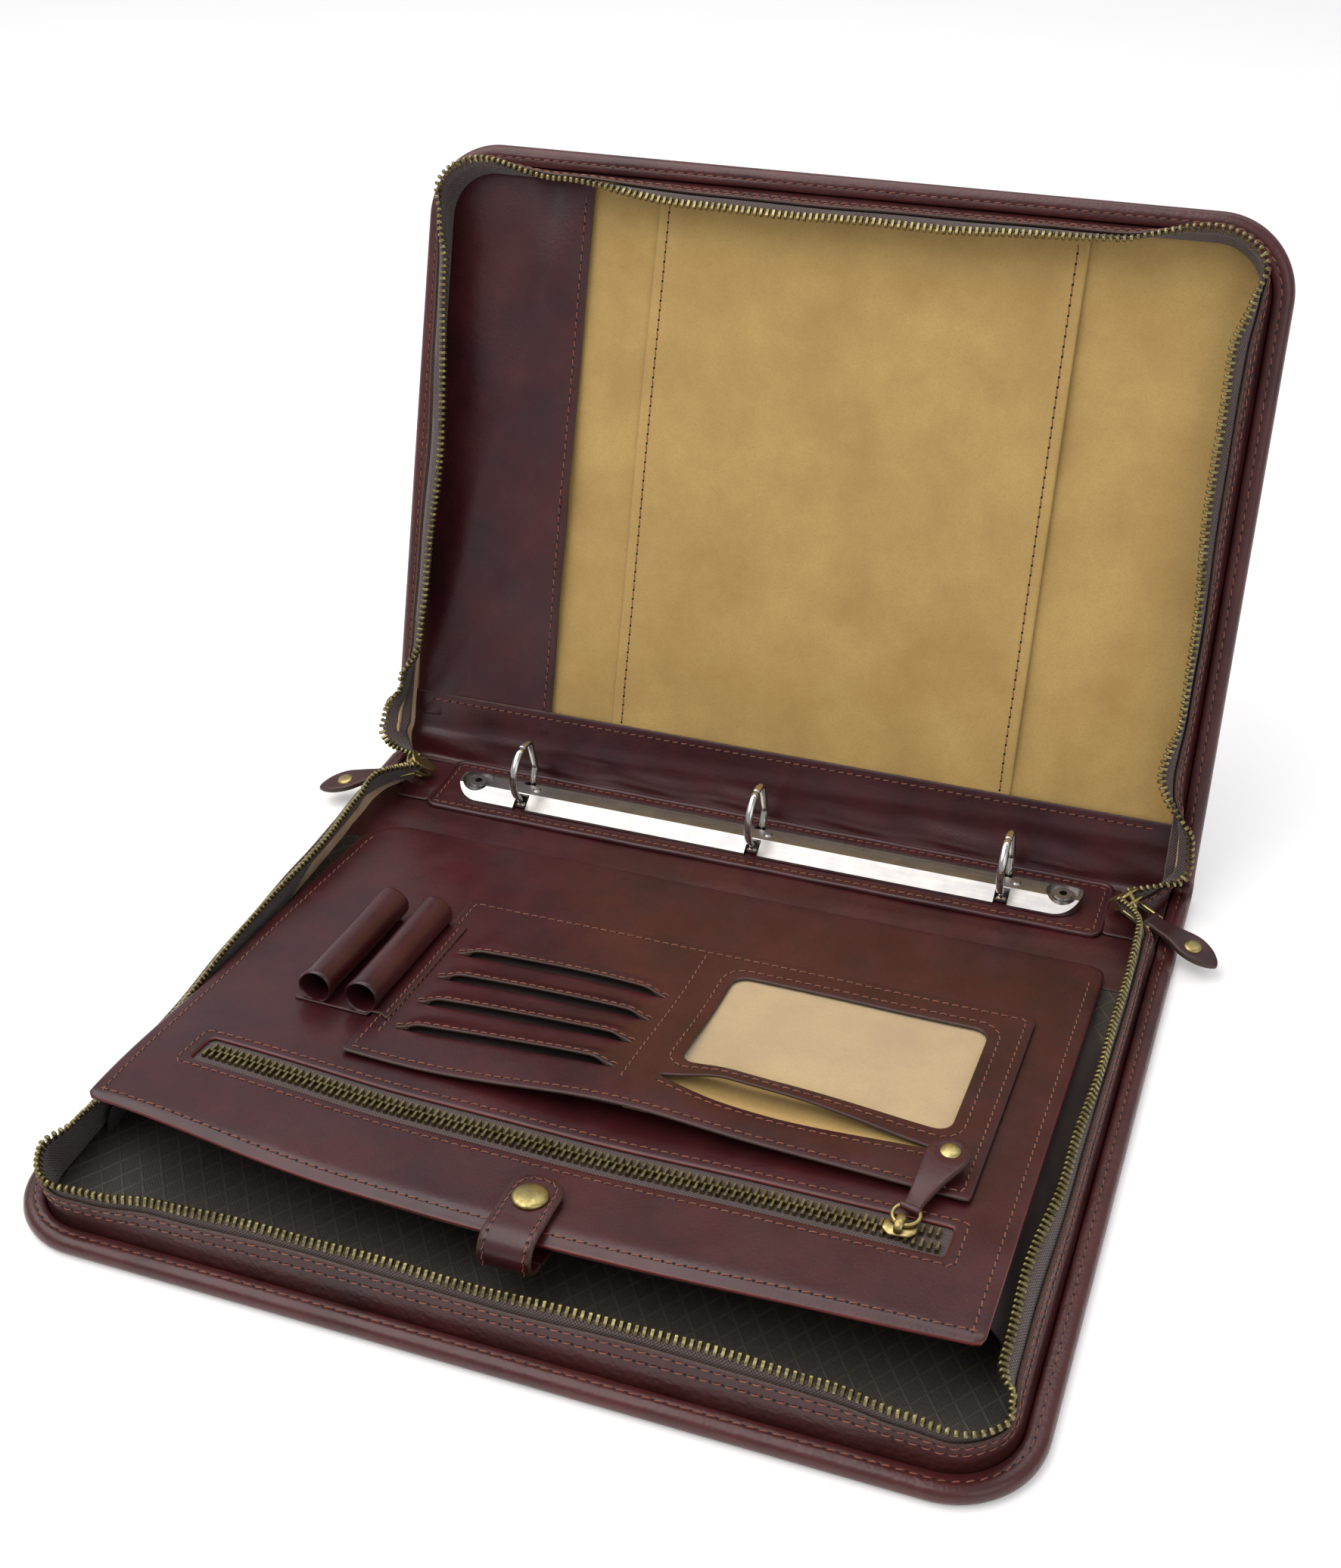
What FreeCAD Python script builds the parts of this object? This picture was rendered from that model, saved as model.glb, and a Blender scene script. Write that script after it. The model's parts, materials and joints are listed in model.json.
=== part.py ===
import FreeCAD, Part
import math
import os

# Zip-round leather portfolio case with a ring mechanism, modelled standing open.
#
# Frame: origin at the centre of the base's underside, +X to the user's right along the
# hinge, +Y towards the spine, +Z up. All sizes are in millimetres.
#
# The case has two equal leaves, the base and the lid, joined by a narrow spine. Each leaf
# is drawn once in "leaf" coordinates: x along the hinge, v from the fold towards the free
# edge and z up from the outer skin. place_base and place_lid then put it on its side.

Vec = FreeCAD.Vector
X_AXIS = Vec(1, 0, 0)
Y_AXIS = Vec(0, 1, 0)
Z_AXIS = Vec(0, 0, 1)

# Whole case
WIDTH = 366.0
DEPTH = 275.0
SPINE = 45.0
CORNER_R = 32.0
LID_LEAN = 20.0            # the open lid leans this far back from upright, in degrees

# Skins and boards, stacked upwards from the underside of a leaf
LEATHER = 1.5
BOARD = 2.0
LINING = 0.6
SLACK = 0.1                # air between two layers that only lie on each other
BOARD_Z = LEATHER
LINING_Z = BOARD_Z + BOARD
FLOOR_Z = LINING_Z + LINING

# Padded edge and zip wall of a leaf; an inset is measured in from the outer edge
EDGE_H = 6.5
EDGE_FILLET = 3.0
EDGE_W = 8.0               # from the outer edge to the foot of the zip wall
RIM_BACK = 11.0            # the raised edge stops this far short of the fold
WALL_BACK = 17.0           # and the zip wall this far
BOARD_BACK = 3.5
WALL_FOOT_IN = 8.2
WALL_TOP_IN = 12.2
WALL_T = 1.5
WALL_TOP_Z = 20.0
TAPE_FOOT_IN = 13.2
TAPE_TOP_IN = 17.0
TAPE_T = 0.6
TAPE_FOOT_Z = 15.0
TAPE_TOP_Z = 22.2
TEETH_W = 3.0
TEETH_TOP_Z = 23.7

# Folds: the skin bends along the top of the outer leather
FOLD_1 = Vec(0, DEPTH / 2, LEATHER)
FOLD_2 = Vec(0, DEPTH / 2 + SPINE, LEATHER)

# Lid interior
LID_FLAP_T = 0.8
LID_FLAP_IN = 15.5
LID_STRIP_T = 1.2
LID_STRIP_BACK = 7.0       # the hinge strip runs up the lid from here
LID_STRIP_TOP = 32.0       # to here, over the feet of the pocket and band
LID_TUCK = 22.0            # where the pocket and the band start
POCKET_HEM_X = -106.0
BAND_LEFT_X = -77.0
BAND_RIGHT_X = 103.0

# Ring pad and ring mechanism on the spine
SPINE_MID_Y = DEPTH / 2 + SPINE / 2
MECH_X = 1.5               # the mechanism sits a little right of centre
PAD_L = 302.0
PAD_W = 37.0
PAD_TOP_Z = 6.5
HOUSING_L = 280.0
HOUSING_W = 22.0
HOUSING_H = 5.0
HOUSING_LIP = 1.1
HOUSING_FLAT = 8.0
HOUSING_T = 0.8
RIVET_INSET = 8.0
RIVET_R = 2.3
RING_PITCH = 108.0
RING_WIRE_R = 1.35
RING_ARC_R = 12.5
RING_ARC_Y = SPINE_MID_Y - 1.5
RING_ARC_Z = 22.0
RING_FOOT_ANGLE = 232.0    # where the front arc meets its foot, degrees from +Y
RING_JOIN_ANGLE = 99.0     # where the two halves meet, just in front of the top
RING_REAR_ANGLE = 56.0     # where the rear half leaves the arc
RING_BEND = (SPINE_MID_Y + 9.0, 17.5)
RING_HEEL = (SPINE_MID_Y + 4.6, 9.6)
BLADE_L = 246.0
BLADE_T = 0.7
BLADE_W = 8.6
BLADE_Z = PAD_TOP_Z + 0.4
BLADE_GAP = 0.4

# Organiser panel, drawn flat and then tilted up about its sewn back edge
PANEL_BACK = Vec(0, 122.0, FLOOR_Z + SLACK)
PANEL_TILT = 6.0
PANEL_LEFT = -162.0
PANEL_RIGHT = 158.5
PANEL_FRONT = -99.0
PANEL_LEFT_R = 18.0
PANEL_RIGHT_R = 6.0
BACKING_T = 0.6
PANEL_GAP = 0.6            # hollow of the zip pocket, between backing and leather
PANEL_T = 1.6
PANEL_H = BACKING_T + PANEL_GAP + PANEL_T

# Zip pocket across the organiser
ZIP_X0 = -141.0
ZIP_X1 = 138.0
ZIP_Y0 = -65.5
ZIP_Y1 = -50.5
ZIP_MID_Y = (ZIP_Y0 + ZIP_Y1) / 2
CHAIN_W = 5.6
CHAIN_T = 1.3
SLIDER_X = 121.0
SLIDER_L = 10.0
SLIDER_W = 8.4
SLIDER_H = 3.6
PULL_RING_R = 4.6
PULL_WIRE_R = 0.75
PULL_TAB_L = 37.0
PULL_TAB_W = 15.0
PULL_TAB_ROOT = 6.5
PULL_TAB_T = 2.6
PULL_TURN = -13.0          # the tab lies this far off the case's Y direction

# Card and ID-window panel on the organiser
CARD_X0 = -94.5
CARD_X1 = 140.0
CARD_Y0 = -39.0
CARD_Y1 = 75.0
CARD_LINING_T = 0.5
CARD_GAP = 0.4
CARD_T = 1.2
SLOT_X0 = -82.5
SLOT_X1 = 5.0
SLOT_Y_FIRST = -19.0
SLOT_PITCH = 18.0
SLOT_COUNT = 4
SLOT_GAPE = 3.0
WINDOW_X0 = 25.0
WINDOW_X1 = 125.0
WINDOW_Y0 = -5.0
WINDOW_Y1 = 60.0
SLIT_Y = -17.0
SLIT_W = 3.0
FILM_T = 0.3

# Pen loops
PEN_X = (-119.0, -99.5)
PEN_Y0 = -12.0
PEN_Y1 = 50.0
PEN_R = 6.6
PEN_T = 1.2
PEN_STRIP_T = 1.0

# Snap strap over the organiser's front edge
STRAP_X = 3.0
STRAP_W = 19.5
STRAP_T = 2.2
STRAP_SNAP_Y = -89.0
STRAP_REACH = 9.0          # the strap bulges this far in front of the panel
STRAP_DROP = 8.5           # depth of the bulge below the strap's top
SNAP_R = 6.3
SNAP_H = 2.2
TAIL_T = 2.0

# Main sliders at the two ends of the spine, tilted up and outwards
MAIN_X = 158.0
MAIN_Y = SPINE_MID_Y - 1.0
MAIN_Z = 13.4
MAIN_TILT = 45.0
MAIN_L = 13.0
MAIN_W = 9.0
MAIN_PLATE_T = 1.2
MAIN_GAP = 2.2
MAIN_BRIDGE_H = 2.6
LINK_L = 12.0
LINK_W = 9.0
LINK_WIRE_R = 0.7
TAB_L = 34.0
TAB_W = 13.0
TAB_ROOT = 8.0
TAB_T = 2.8
TAB_YAW = 28.0             # the tabs point outwards and this far forwards
TAB_DROOP = 8.0
TAB_RIVET_R = 3.6

# Side gussets of the document pocket
GUSSET_T = 0.8
GUSSET_X = 155.5
GUSSET_Y0 = -84.0
GUSSET_Y1 = 108.0


def box(x0, x1, y0, y1, z0, z1):
    return Part.makeBox(x1 - x0, y1 - y0, z1 - z0, Vec(x0, y0, z0))


def tube(radius, hole, height, base, axis=Z_AXIS):
    outer = Part.makeCylinder(radius, height, base, axis)
    if not hole:
        return outer
    return outer.cut(Part.makeCylinder(hole, height + 2, base - axis, axis))


def polygon_prism(points, extrusion):
    wire = Part.makePolygon(points + [points[0]])
    return Part.Face(wire).extrude(extrusion)


def compound(shapes):
    return Part.makeCompound(shapes)


def mirrored(shape):
    return shape.mirror(Vec(0, 0, 0), X_AXIS)


# ---------------------------------------------------------------- leaf outlines

def leaf_path(inset, back, z):
    """Edges of a leaf's outline from the left of the fold round to the right."""
    half = WIDTH / 2 - inset
    far = DEPTH - inset
    radius = CORNER_R - inset
    slant = radius * (1 - math.cos(math.radians(45)))
    points = [
        Vec(-half, back, z), Vec(-half, far - radius, z),
        Vec(-half + slant, far - slant, z), Vec(-half + radius, far, z),
        Vec(half - radius, far, z), Vec(half - slant, far - slant, z),
        Vec(half, far - radius, z), Vec(half, back, z),
    ]
    return [
        Part.LineSegment(points[0], points[1]).toShape(),
        Part.Arc(points[1], points[2], points[3]).toShape(),
        Part.LineSegment(points[3], points[4]).toShape(),
        Part.Arc(points[4], points[5], points[6]).toShape(),
        Part.LineSegment(points[6], points[7]).toShape(),
    ], points[0], points[7]


def leaf_plate(inset, back, z0, z1):
    edges, left, right = leaf_path(inset, back, z0)
    edges.append(Part.LineSegment(right, left).toShape())
    face = Part.Face(Part.Wire(edges))
    return face.extrude(Vec(0, 0, z1 - z0))


def rim_wire(outer, inner, back, z):
    outside, out_left, out_right = leaf_path(outer, back, z)
    inside, in_left, in_right = leaf_path(inner, back, z)
    bridge_right = Part.LineSegment(out_right, in_right).toShape()
    bridge_left = Part.LineSegment(in_left, out_left).toShape()
    return Part.Wire(outside + [bridge_right] + inside[::-1] + [bridge_left])


def leaning_rim(foot_inset, top_inset, thickness, back, z0, z1):
    """A wall round three sides of a leaf that leans inwards from z0 to z1."""
    foot = rim_wire(foot_inset, foot_inset + thickness, back, z0)
    top = rim_wire(top_inset, top_inset + thickness, back, z1)
    return Part.makeLoft([foot, top], True, True)


# ---------------------------------------------------------------- placing

def place_base(shape):
    placed = shape.copy()
    placed.rotate(Vec(0, 0, 0), Z_AXIS, 180)
    placed.translate(Vec(0, DEPTH / 2, 0))
    return placed


def place_lid(shape):
    placed = shape.copy()
    placed.translate(Vec(0, FOLD_2.y, 0))
    placed.rotate(FOLD_2, X_AXIS, 90 - LID_LEAN)
    return placed


def place_organiser(shape):
    """From flat coordinates, z above the organiser's datum, to the tilted panel."""
    placed = shape.copy()
    placed.translate(Vec(0, 0, PANEL_BACK.z))
    placed.rotate(PANEL_BACK, X_AXIS, -PANEL_TILT)
    return placed


def tilted(point):
    """An organiser point, from flat coordinates to the case's frame."""
    moved = place_organiser(Part.Vertex(point))
    return moved.Vertexes[0].Point


# ---------------------------------------------------------------- the two leaves

def leaf_cover():
    """Outer hide, turned over a padded edge and left open in the middle."""
    rim = leaf_plate(0, RIM_BACK, 0, EDGE_H)
    round_edges = [
        edge for edge in rim.Edges
        if edge.BoundBox.ZLength < 0.01 and edge.BoundBox.YMax > RIM_BACK + 0.1
    ]
    rim = rim.makeFillet(EDGE_FILLET, round_edges)
    hollow = leaf_plate(LEATHER, RIM_BACK - 1, LEATHER, EDGE_H - LEATHER)
    mouth = leaf_plate(EDGE_W, RIM_BACK - 1, LEATHER, EDGE_H + 1)
    tongue = box(-WIDTH / 2, WIDTH / 2, 0, RIM_BACK + 4, 0, LEATHER)
    corner_cut = leaf_plate(0, RIM_BACK + 0.5, -1, EDGE_H)
    return rim.cut(hollow).cut(mouth).fuse(tongue.cut(corner_cut)).removeSplitter()


def leaf_nodes():
    """The pieces that the base and the lid have in common, in leaf coordinates."""
    edge_fill_in = LEATHER + 0.5
    padding = leaf_plate(edge_fill_in, RIM_BACK, LINING_Z, EDGE_H - LEATHER)
    padding = padding.cut(leaf_plate(EDGE_W, RIM_BACK - 1, 0, EDGE_H))
    teeth_in = TAPE_TOP_IN + TAPE_T / 2 - TEETH_W / 2
    return {
        "cover": leaf_cover(),
        "board": leaf_plate(edge_fill_in, BOARD_BACK, BOARD_Z, LINING_Z),
        "edge_padding": padding,
        "lining": leaf_plate(WALL_FOOT_IN + WALL_T + 0.3, BOARD_BACK, LINING_Z, FLOOR_Z),
        "zip_wall": leaning_rim(
            WALL_FOOT_IN, WALL_TOP_IN, WALL_T, WALL_BACK, LINING_Z, WALL_TOP_Z),
        "zip_tape": leaning_rim(
            TAPE_FOOT_IN, TAPE_TOP_IN, TAPE_T, WALL_BACK, TAPE_FOOT_Z, TAPE_TOP_Z),
        "zip_teeth": leaning_rim(
            teeth_in, teeth_in, TEETH_W, WALL_BACK, TAPE_TOP_Z, TEETH_TOP_Z),
    }


def lid_interior():
    """Side pocket, centre band and hinge strip, in leaf coordinates."""
    flap_z = FLOOR_Z + SLACK
    flaps = leaf_plate(LID_FLAP_IN, LID_TUCK, flap_z, flap_z + LID_FLAP_T)
    reach = WIDTH
    left_half = box(-reach, POCKET_HEM_X, 0, reach, 0, EDGE_H)
    band_zone = box(BAND_LEFT_X, BAND_RIGHT_X, 0, reach, 0, EDGE_H)
    strip_z = flap_z + LID_FLAP_T + SLACK
    strip_half = WIDTH / 2 - LID_FLAP_IN
    return {
        "lid_side_pocket": flaps.common(left_half),
        "lid_centre_band": flaps.common(band_zone),
        "lid_hinge_strip": box(
            -strip_half, strip_half, LID_STRIP_BACK, LID_STRIP_TOP, strip_z,
            strip_z + LID_STRIP_T),
    }


# ---------------------------------------------------------------- spine and rings

def spine_nodes():
    front = FOLD_1.y
    rear = FOLD_2.y
    half = WIDTH / 2
    hem = 12.0
    cover = box(-half, half, front, rear, 0, LEATHER)
    for side in (-1, 1):
        outer = side * half
        inner = side * (half - LEATHER)
        hem_in = side * (half - hem)
        edge = box(min(outer, inner), max(outer, inner), front + 3, rear - 3, LEATHER, 5)
        flap = box(min(outer, hem_in), max(outer, hem_in), front + 3, rear - 3,
                   LINING_Z + SLACK, 5)
        cover = cover.fuse(edge).fuse(flap)
    board_half = half - LEATHER - 0.5
    board = box(-board_half, board_half, front + BOARD_BACK, rear - BOARD_BACK,
                BOARD_Z, LINING_Z)
    lining_half = half - hem - 0.5
    lining = box(-lining_half, lining_half, front + BOARD_BACK, rear - BOARD_BACK,
                 LINING_Z, FLOOR_Z)
    pad = box(MECH_X - PAD_L / 2, MECH_X + PAD_L / 2, SPINE_MID_Y - PAD_W / 2,
              SPINE_MID_Y + PAD_W / 2, FLOOR_Z, PAD_TOP_Z)
    uprights = [
        edge for edge in pad.Edges if edge.BoundBox.ZLength > 1
    ]
    pad = pad.makeFillet(3.0, uprights)
    for x in rivet_places():
        drill = Part.makeCylinder(RIVET_R + 0.1, PAD_TOP_Z, Vec(x, SPINE_MID_Y, LEATHER))
        board = board.cut(drill)
        lining = lining.cut(drill)
        pad = pad.cut(drill)
    return {
        "spine_cover": cover.removeSplitter(),
        "spine_board": board,
        "spine_lining": lining,
        "ring_pad": pad,
    }


def rivet_places():
    reach = HOUSING_L / 2 - RIVET_INSET
    return (MECH_X - reach, MECH_X + reach)


def ring_places():
    return [MECH_X + step * RING_PITCH for step in (-1, 0, 1)]


def roof_section(wall, x):
    """Outline of the ridged housing, shrunk by the wall for its inside."""
    half = HOUSING_W / 2 - wall
    flat = HOUSING_FLAT / 2 - wall / 4
    lip = HOUSING_LIP - wall / 2
    height = HOUSING_H - wall
    outline = [(-half, -wall), (-half, lip), (-flat, height), (flat, height),
               (half, lip), (half, -wall)]
    return [Vec(x, SPINE_MID_Y + y, PAD_TOP_Z + z) for y, z in outline]


def ring_housing():
    left = MECH_X - HOUSING_L / 2
    shell = polygon_prism(roof_section(0, left), X_AXIS * HOUSING_L)
    hollow_end = 2 * RIVET_INSET - 1
    hollow_l = HOUSING_L - 2 * hollow_end
    shell = shell.cut(polygon_prism(
        roof_section(HOUSING_T, left + hollow_end), X_AXIS * hollow_l))
    ends = HOUSING_W / 2
    plan = box(left + ends, left + HOUSING_L - ends, SPINE_MID_Y - ends,
               SPINE_MID_Y + ends, 0, RING_ARC_Z)
    for x in (left + ends, left + HOUSING_L - ends):
        plan = plan.fuse(Part.makeCylinder(ends, RING_ARC_Z, Vec(x, SPINE_MID_Y, 0)))
    shell = shell.common(plan)
    for x in rivet_places():
        dish = Part.makeCylinder(7.0, HOUSING_H, Vec(x, SPINE_MID_Y, PAD_TOP_Z + 2.4))
        boss = Part.makeCylinder(4.4, 3.8, Vec(x, SPINE_MID_Y, PAD_TOP_Z))
        hole = Part.makeCylinder(RIVET_R + 0.1, 20, Vec(x, SPINE_MID_Y, 0))
        shell = shell.cut(dish).fuse(boss).cut(hole)
    slot_half = RING_WIRE_R + 1.6
    for x in ring_places():
        front = box(x - slot_half, x + slot_half, SPINE_MID_Y - 12, SPINE_MID_Y - 4.5,
                    PAD_TOP_Z - 1, RING_ARC_Z)
        rear = box(x - slot_half, x + slot_half, SPINE_MID_Y + 2.6, SPINE_MID_Y + 12,
                   PAD_TOP_Z - 1, RING_ARC_Z)
        shell = shell.cut(front).cut(rear)
    return shell


def housing_rivets():
    rivets = []
    for x in rivet_places():
        foot = Vec(x, SPINE_MID_Y, LEATHER + SLACK)
        stem = tube(RIVET_R, RIVET_R - 0.7, PAD_TOP_Z + 4.4 - foot.z, foot)
        head = tube(RIVET_R + 1.5, RIVET_R - 0.7, 0.6, Vec(x, SPINE_MID_Y, PAD_TOP_Z + 3.8))
        rivets.append(stem.fuse(head))
    return compound(rivets)


def ridge_studs():
    """Domed rivet heads on the housing's flat top, one beside each ring."""
    studs = []
    for x in ring_places():
        top = Vec(x + 4.6, SPINE_MID_Y, PAD_TOP_Z + HOUSING_H)
        studs.append(Part.makeCone(1.9, 1.2, 0.7, top))
    return compound(studs)


def arc_point(angle):
    turn = math.radians(angle)
    return Vec(0, RING_ARC_Y + RING_ARC_R * math.cos(turn),
               RING_ARC_Z + RING_ARC_R * math.sin(turn))


def wire_along(edges, radius):
    """A round wire swept along edges that start at the path's first point."""
    path = Part.Wire(edges)
    first = path.OrderedEdges[0]
    start = path.OrderedVertexes[0].Point
    heading = first.tangentAt(first.FirstParameter)
    profile = Part.Wire(Part.makeCircle(radius, start, heading))
    return path.makePipeShell([profile], True, False, 2)


def half_ring_front():
    """From its foot at the housing's front edge, round the front, to the join."""
    foot = arc_point(RING_FOOT_ANGLE)
    middle = arc_point((RING_FOOT_ANGLE + RING_JOIN_ANGLE) / 2)
    join = arc_point(RING_JOIN_ANGLE)
    heel = Vec(0, foot.y + 1.2, BLADE_Z + BLADE_T)
    bow = wire_along([Part.Arc(foot, middle, join).toShape()], RING_WIRE_R)
    stem = Part.makeCylinder(RING_WIRE_R, (foot - heel).Length, heel, foot - heel)
    knuckle = Part.makeSphere(RING_WIRE_R, foot)
    shoe = box(-2.4, 2.4, foot.y - 1.0, foot.y + 1.8, BLADE_Z + BLADE_T,
               BLADE_Z + BLADE_T + 1.2)
    return bow.fuse(knuckle).fuse(stem).fuse(shoe)


def half_ring_rear():
    """From the join over the top, straight down to a bend and in through the roof."""
    gap = 0.4
    start_angle = RING_JOIN_ANGLE - math.degrees(gap / RING_ARC_R)
    join = arc_point(start_angle)
    middle = arc_point((start_angle + RING_REAR_ANGLE) / 2)
    leave = arc_point(RING_REAR_ANGLE)
    bend = Vec(0, *RING_BEND)
    heel = Vec(0, *RING_HEEL)
    foot = Vec(0, RING_HEEL[0] + 0.2, BLADE_Z + BLADE_T)
    half = wire_along([Part.Arc(join, middle, leave).toShape()], RING_WIRE_R)
    corners = [leave, bend, heel, foot]
    for start, end in zip(corners, corners[1:]):
        run = Part.makeCylinder(RING_WIRE_R, (end - start).Length, start, end - start)
        half = half.fuse(run)
    for corner in corners[:-1]:
        half = half.fuse(Part.makeSphere(RING_WIRE_R, corner))
    return half


def blade(side):
    """Spring-steel strip under the roof; side is -1 in front and 1 behind."""
    inner = SPINE_MID_Y + side * BLADE_GAP / 2
    outer = inner + side * BLADE_W
    return box(MECH_X - BLADE_L / 2, MECH_X + BLADE_L / 2, min(inner, outer),
               max(inner, outer), BLADE_Z, BLADE_Z + BLADE_T)


def ring_nodes():
    def at_rings(shape):
        return compound([shape.translated(Vec(x, 0, 0)) for x in ring_places()])

    keep_clear = box(-WIDTH, WIDTH, SPINE_MID_Y - 20, SPINE_MID_Y + 20, 0,
                     BLADE_Z + BLADE_T)
    return {
        "ring_housing": ring_housing(),
        "housing_rivets": housing_rivets(),
        "housing_studs": ridge_studs(),
        "front_blade": blade(-1),
        "rear_blade": blade(1),
        "front_half_rings": at_rings(half_ring_front().cut(keep_clear)),
        "rear_half_rings": at_rings(half_ring_rear().cut(keep_clear)),
    }


# ---------------------------------------------------------------- main sliders

def main_slider():
    """Right-hand slider: two plates on a post, with the pull's bridge underneath."""
    plate = Part.makeBox(MAIN_L, MAIN_W, MAIN_PLATE_T, Vec(-MAIN_L / 2, -MAIN_W / 2, 0))
    nose = [
        edge for edge in plate.Edges
        if edge.BoundBox.ZLength > 0.5 and edge.BoundBox.XMax < 0
    ]
    plate = plate.makeChamfer(2.4, nose)
    upper = plate.translated(Vec(0, 0, MAIN_GAP / 2))
    lower = plate.translated(Vec(0, 0, -MAIN_GAP / 2 - MAIN_PLATE_T))
    post = Part.makeCylinder(1.3, MAIN_GAP, Vec(MAIN_L / 2 - 1.8, 0, -MAIN_GAP / 2))
    under = -MAIN_GAP / 2 - MAIN_PLATE_T
    bridge = box(-3.4, 4.6, -1.1, 1.1, under - MAIN_BRIDGE_H, under)
    window = box(-2.2, 3.4, -2, 2, under - MAIN_BRIDGE_H + 0.8, under)
    slider = upper.fuse(lower).fuse(post).fuse(bridge.cut(window))
    slider.rotate(Vec(0, 0, 0), Y_AXIS, -MAIN_TILT)
    slider.rotate(Vec(0, 0, 0), Z_AXIS, -TAB_YAW)
    slider.translate(Vec(MAIN_X, MAIN_Y, MAIN_Z))
    return slider


def main_pull_point():
    """Where the link hangs in the right-hand bridge."""
    depth = MAIN_GAP / 2 + MAIN_PLATE_T + 0.9
    lean = math.radians(MAIN_TILT)
    along = 2.4
    out = along * math.cos(lean) + depth * math.sin(lean)
    yaw = math.radians(TAB_YAW)
    return Vec(MAIN_X + out * math.cos(yaw), MAIN_Y - out * math.sin(yaw),
               MAIN_Z + along * math.sin(lean) - depth * math.cos(lean))


def leaf_tab(length, width, root, thickness, tip_share):
    """A leaf-shaped leather tab along +X from the origin, flat on z = 0."""
    widest = length * tip_share
    swell = width / 2
    neck = root / 2
    upper = Part.Arc(Vec(widest, swell, 0), Vec(widest + (length - widest) * 0.62,
                     swell * 0.66, 0), Vec(length, 0, 0)).toShape()
    lower = Part.Arc(Vec(length, 0, 0), Vec(widest + (length - widest) * 0.62,
                     -swell * 0.66, 0), Vec(widest, -swell, 0)).toShape()
    edges = [
        Part.LineSegment(Vec(0, -neck, 0), Vec(0, neck, 0)).toShape(),
        Part.LineSegment(Vec(0, neck, 0), Vec(widest, swell, 0)).toShape(),
        upper, lower,
        Part.LineSegment(Vec(widest, -swell, 0), Vec(0, -neck, 0)).toShape(),
    ]
    return Part.Face(Part.Wire(edges)).extrude(Vec(0, 0, thickness))


def wire_link(length, width, radius):
    """A rectangular wire link along +X, its middle plane on z = 0."""
    corners = [Vec(0, -width / 2, 0), Vec(length, -width / 2, 0),
               Vec(length, width / 2, 0), Vec(0, width / 2, 0)]
    link = Part.makeSphere(radius, corners[0])
    for start, end in zip(corners, corners[1:] + corners[:1]):
        side = Part.makeCylinder(radius, (end - start).Length, start, end - start)
        link = link.fuse(side).fuse(Part.makeSphere(radius, end))
    return link


def main_pull_nodes():
    """Link, tab and rivet of the right-hand main slider."""
    link = wire_link(LINK_L, LINK_W, LINK_WIRE_R)
    tab = leaf_tab(TAB_L, TAB_W, TAB_ROOT, TAB_T, 0.6)
    tab.translate(Vec(LINK_L - 2.6, 0, -TAB_T / 2))
    eye = box(LINK_L - 1.6, LINK_L + 1.2, -LINK_W / 2 - 1, LINK_W / 2 + 1, -1, 1)
    tab = tab.cut(eye).cut(link)
    rivet_x = LINK_L - 2.6 + TAB_L * 0.62
    rivet = Part.makeCylinder(1.4, TAB_T, Vec(rivet_x, 0, -TAB_T / 2))
    tab = tab.cut(rivet)
    for z in (TAB_T / 2, -TAB_T / 2 - 0.7):
        rivet = rivet.fuse(Part.makeCylinder(TAB_RIVET_R, 0.7, Vec(rivet_x, 0, z)))
    pieces = {"link": link, "tab": tab, "rivet": rivet}
    for piece in pieces.values():
        piece.rotate(Vec(0, 0, 0), Y_AXIS, TAB_DROOP)
        piece.rotate(Vec(0, 0, 0), Z_AXIS, -TAB_YAW)
        piece.translate(main_pull_point())
    return pieces


# ---------------------------------------------------------------- organiser

def organiser_outline(z0, z1, inset=0.0):
    plate = box(PANEL_LEFT + inset, PANEL_RIGHT - inset, PANEL_FRONT + inset,
                PANEL_BACK.y, z0, z1)
    for x, radius in ((PANEL_LEFT + inset, PANEL_LEFT_R), (PANEL_RIGHT - inset, PANEL_RIGHT_R)):
        corner = [
            edge for edge in plate.Edges
            if edge.BoundBox.YMin > PANEL_BACK.y - 0.01 and abs(edge.BoundBox.XMin - x) < 0.01
            and abs(edge.BoundBox.XMax - x) < 0.01
        ]
        plate = plate.makeFillet(radius, corner)
    return plate


def zip_window(z0, z1):
    return box(ZIP_X0, ZIP_X1, ZIP_Y0, ZIP_Y1, z0, z1)


def organiser_panel():
    leather_z = BACKING_T + PANEL_GAP
    panel = organiser_outline(leather_z, PANEL_H)
    return panel.cut(zip_window(0, 10))


def organiser_backing():
    return organiser_outline(0, BACKING_T, 1.0)


def pocket_zip_nodes():
    tape_z = BACKING_T + SLACK
    tape_t = 0.4
    margin = 5.0
    tape = box(ZIP_X0 - margin, ZIP_X1 + margin, ZIP_Y0 - margin, ZIP_Y1 + margin,
               tape_z, tape_z + tape_t)
    chain = box(ZIP_X0 + 2, ZIP_X1 - 2, ZIP_MID_Y - CHAIN_W / 2, ZIP_MID_Y + CHAIN_W / 2,
                tape_z + tape_t, tape_z + tape_t + CHAIN_T)
    return {"pocket_zip_tape": tape, "pocket_zip_teeth": chain}


def chain_top():
    return BACKING_T + SLACK + 0.4 + CHAIN_T


def slider_floor():
    return max(chain_top(), PANEL_H) + 0.3


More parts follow.
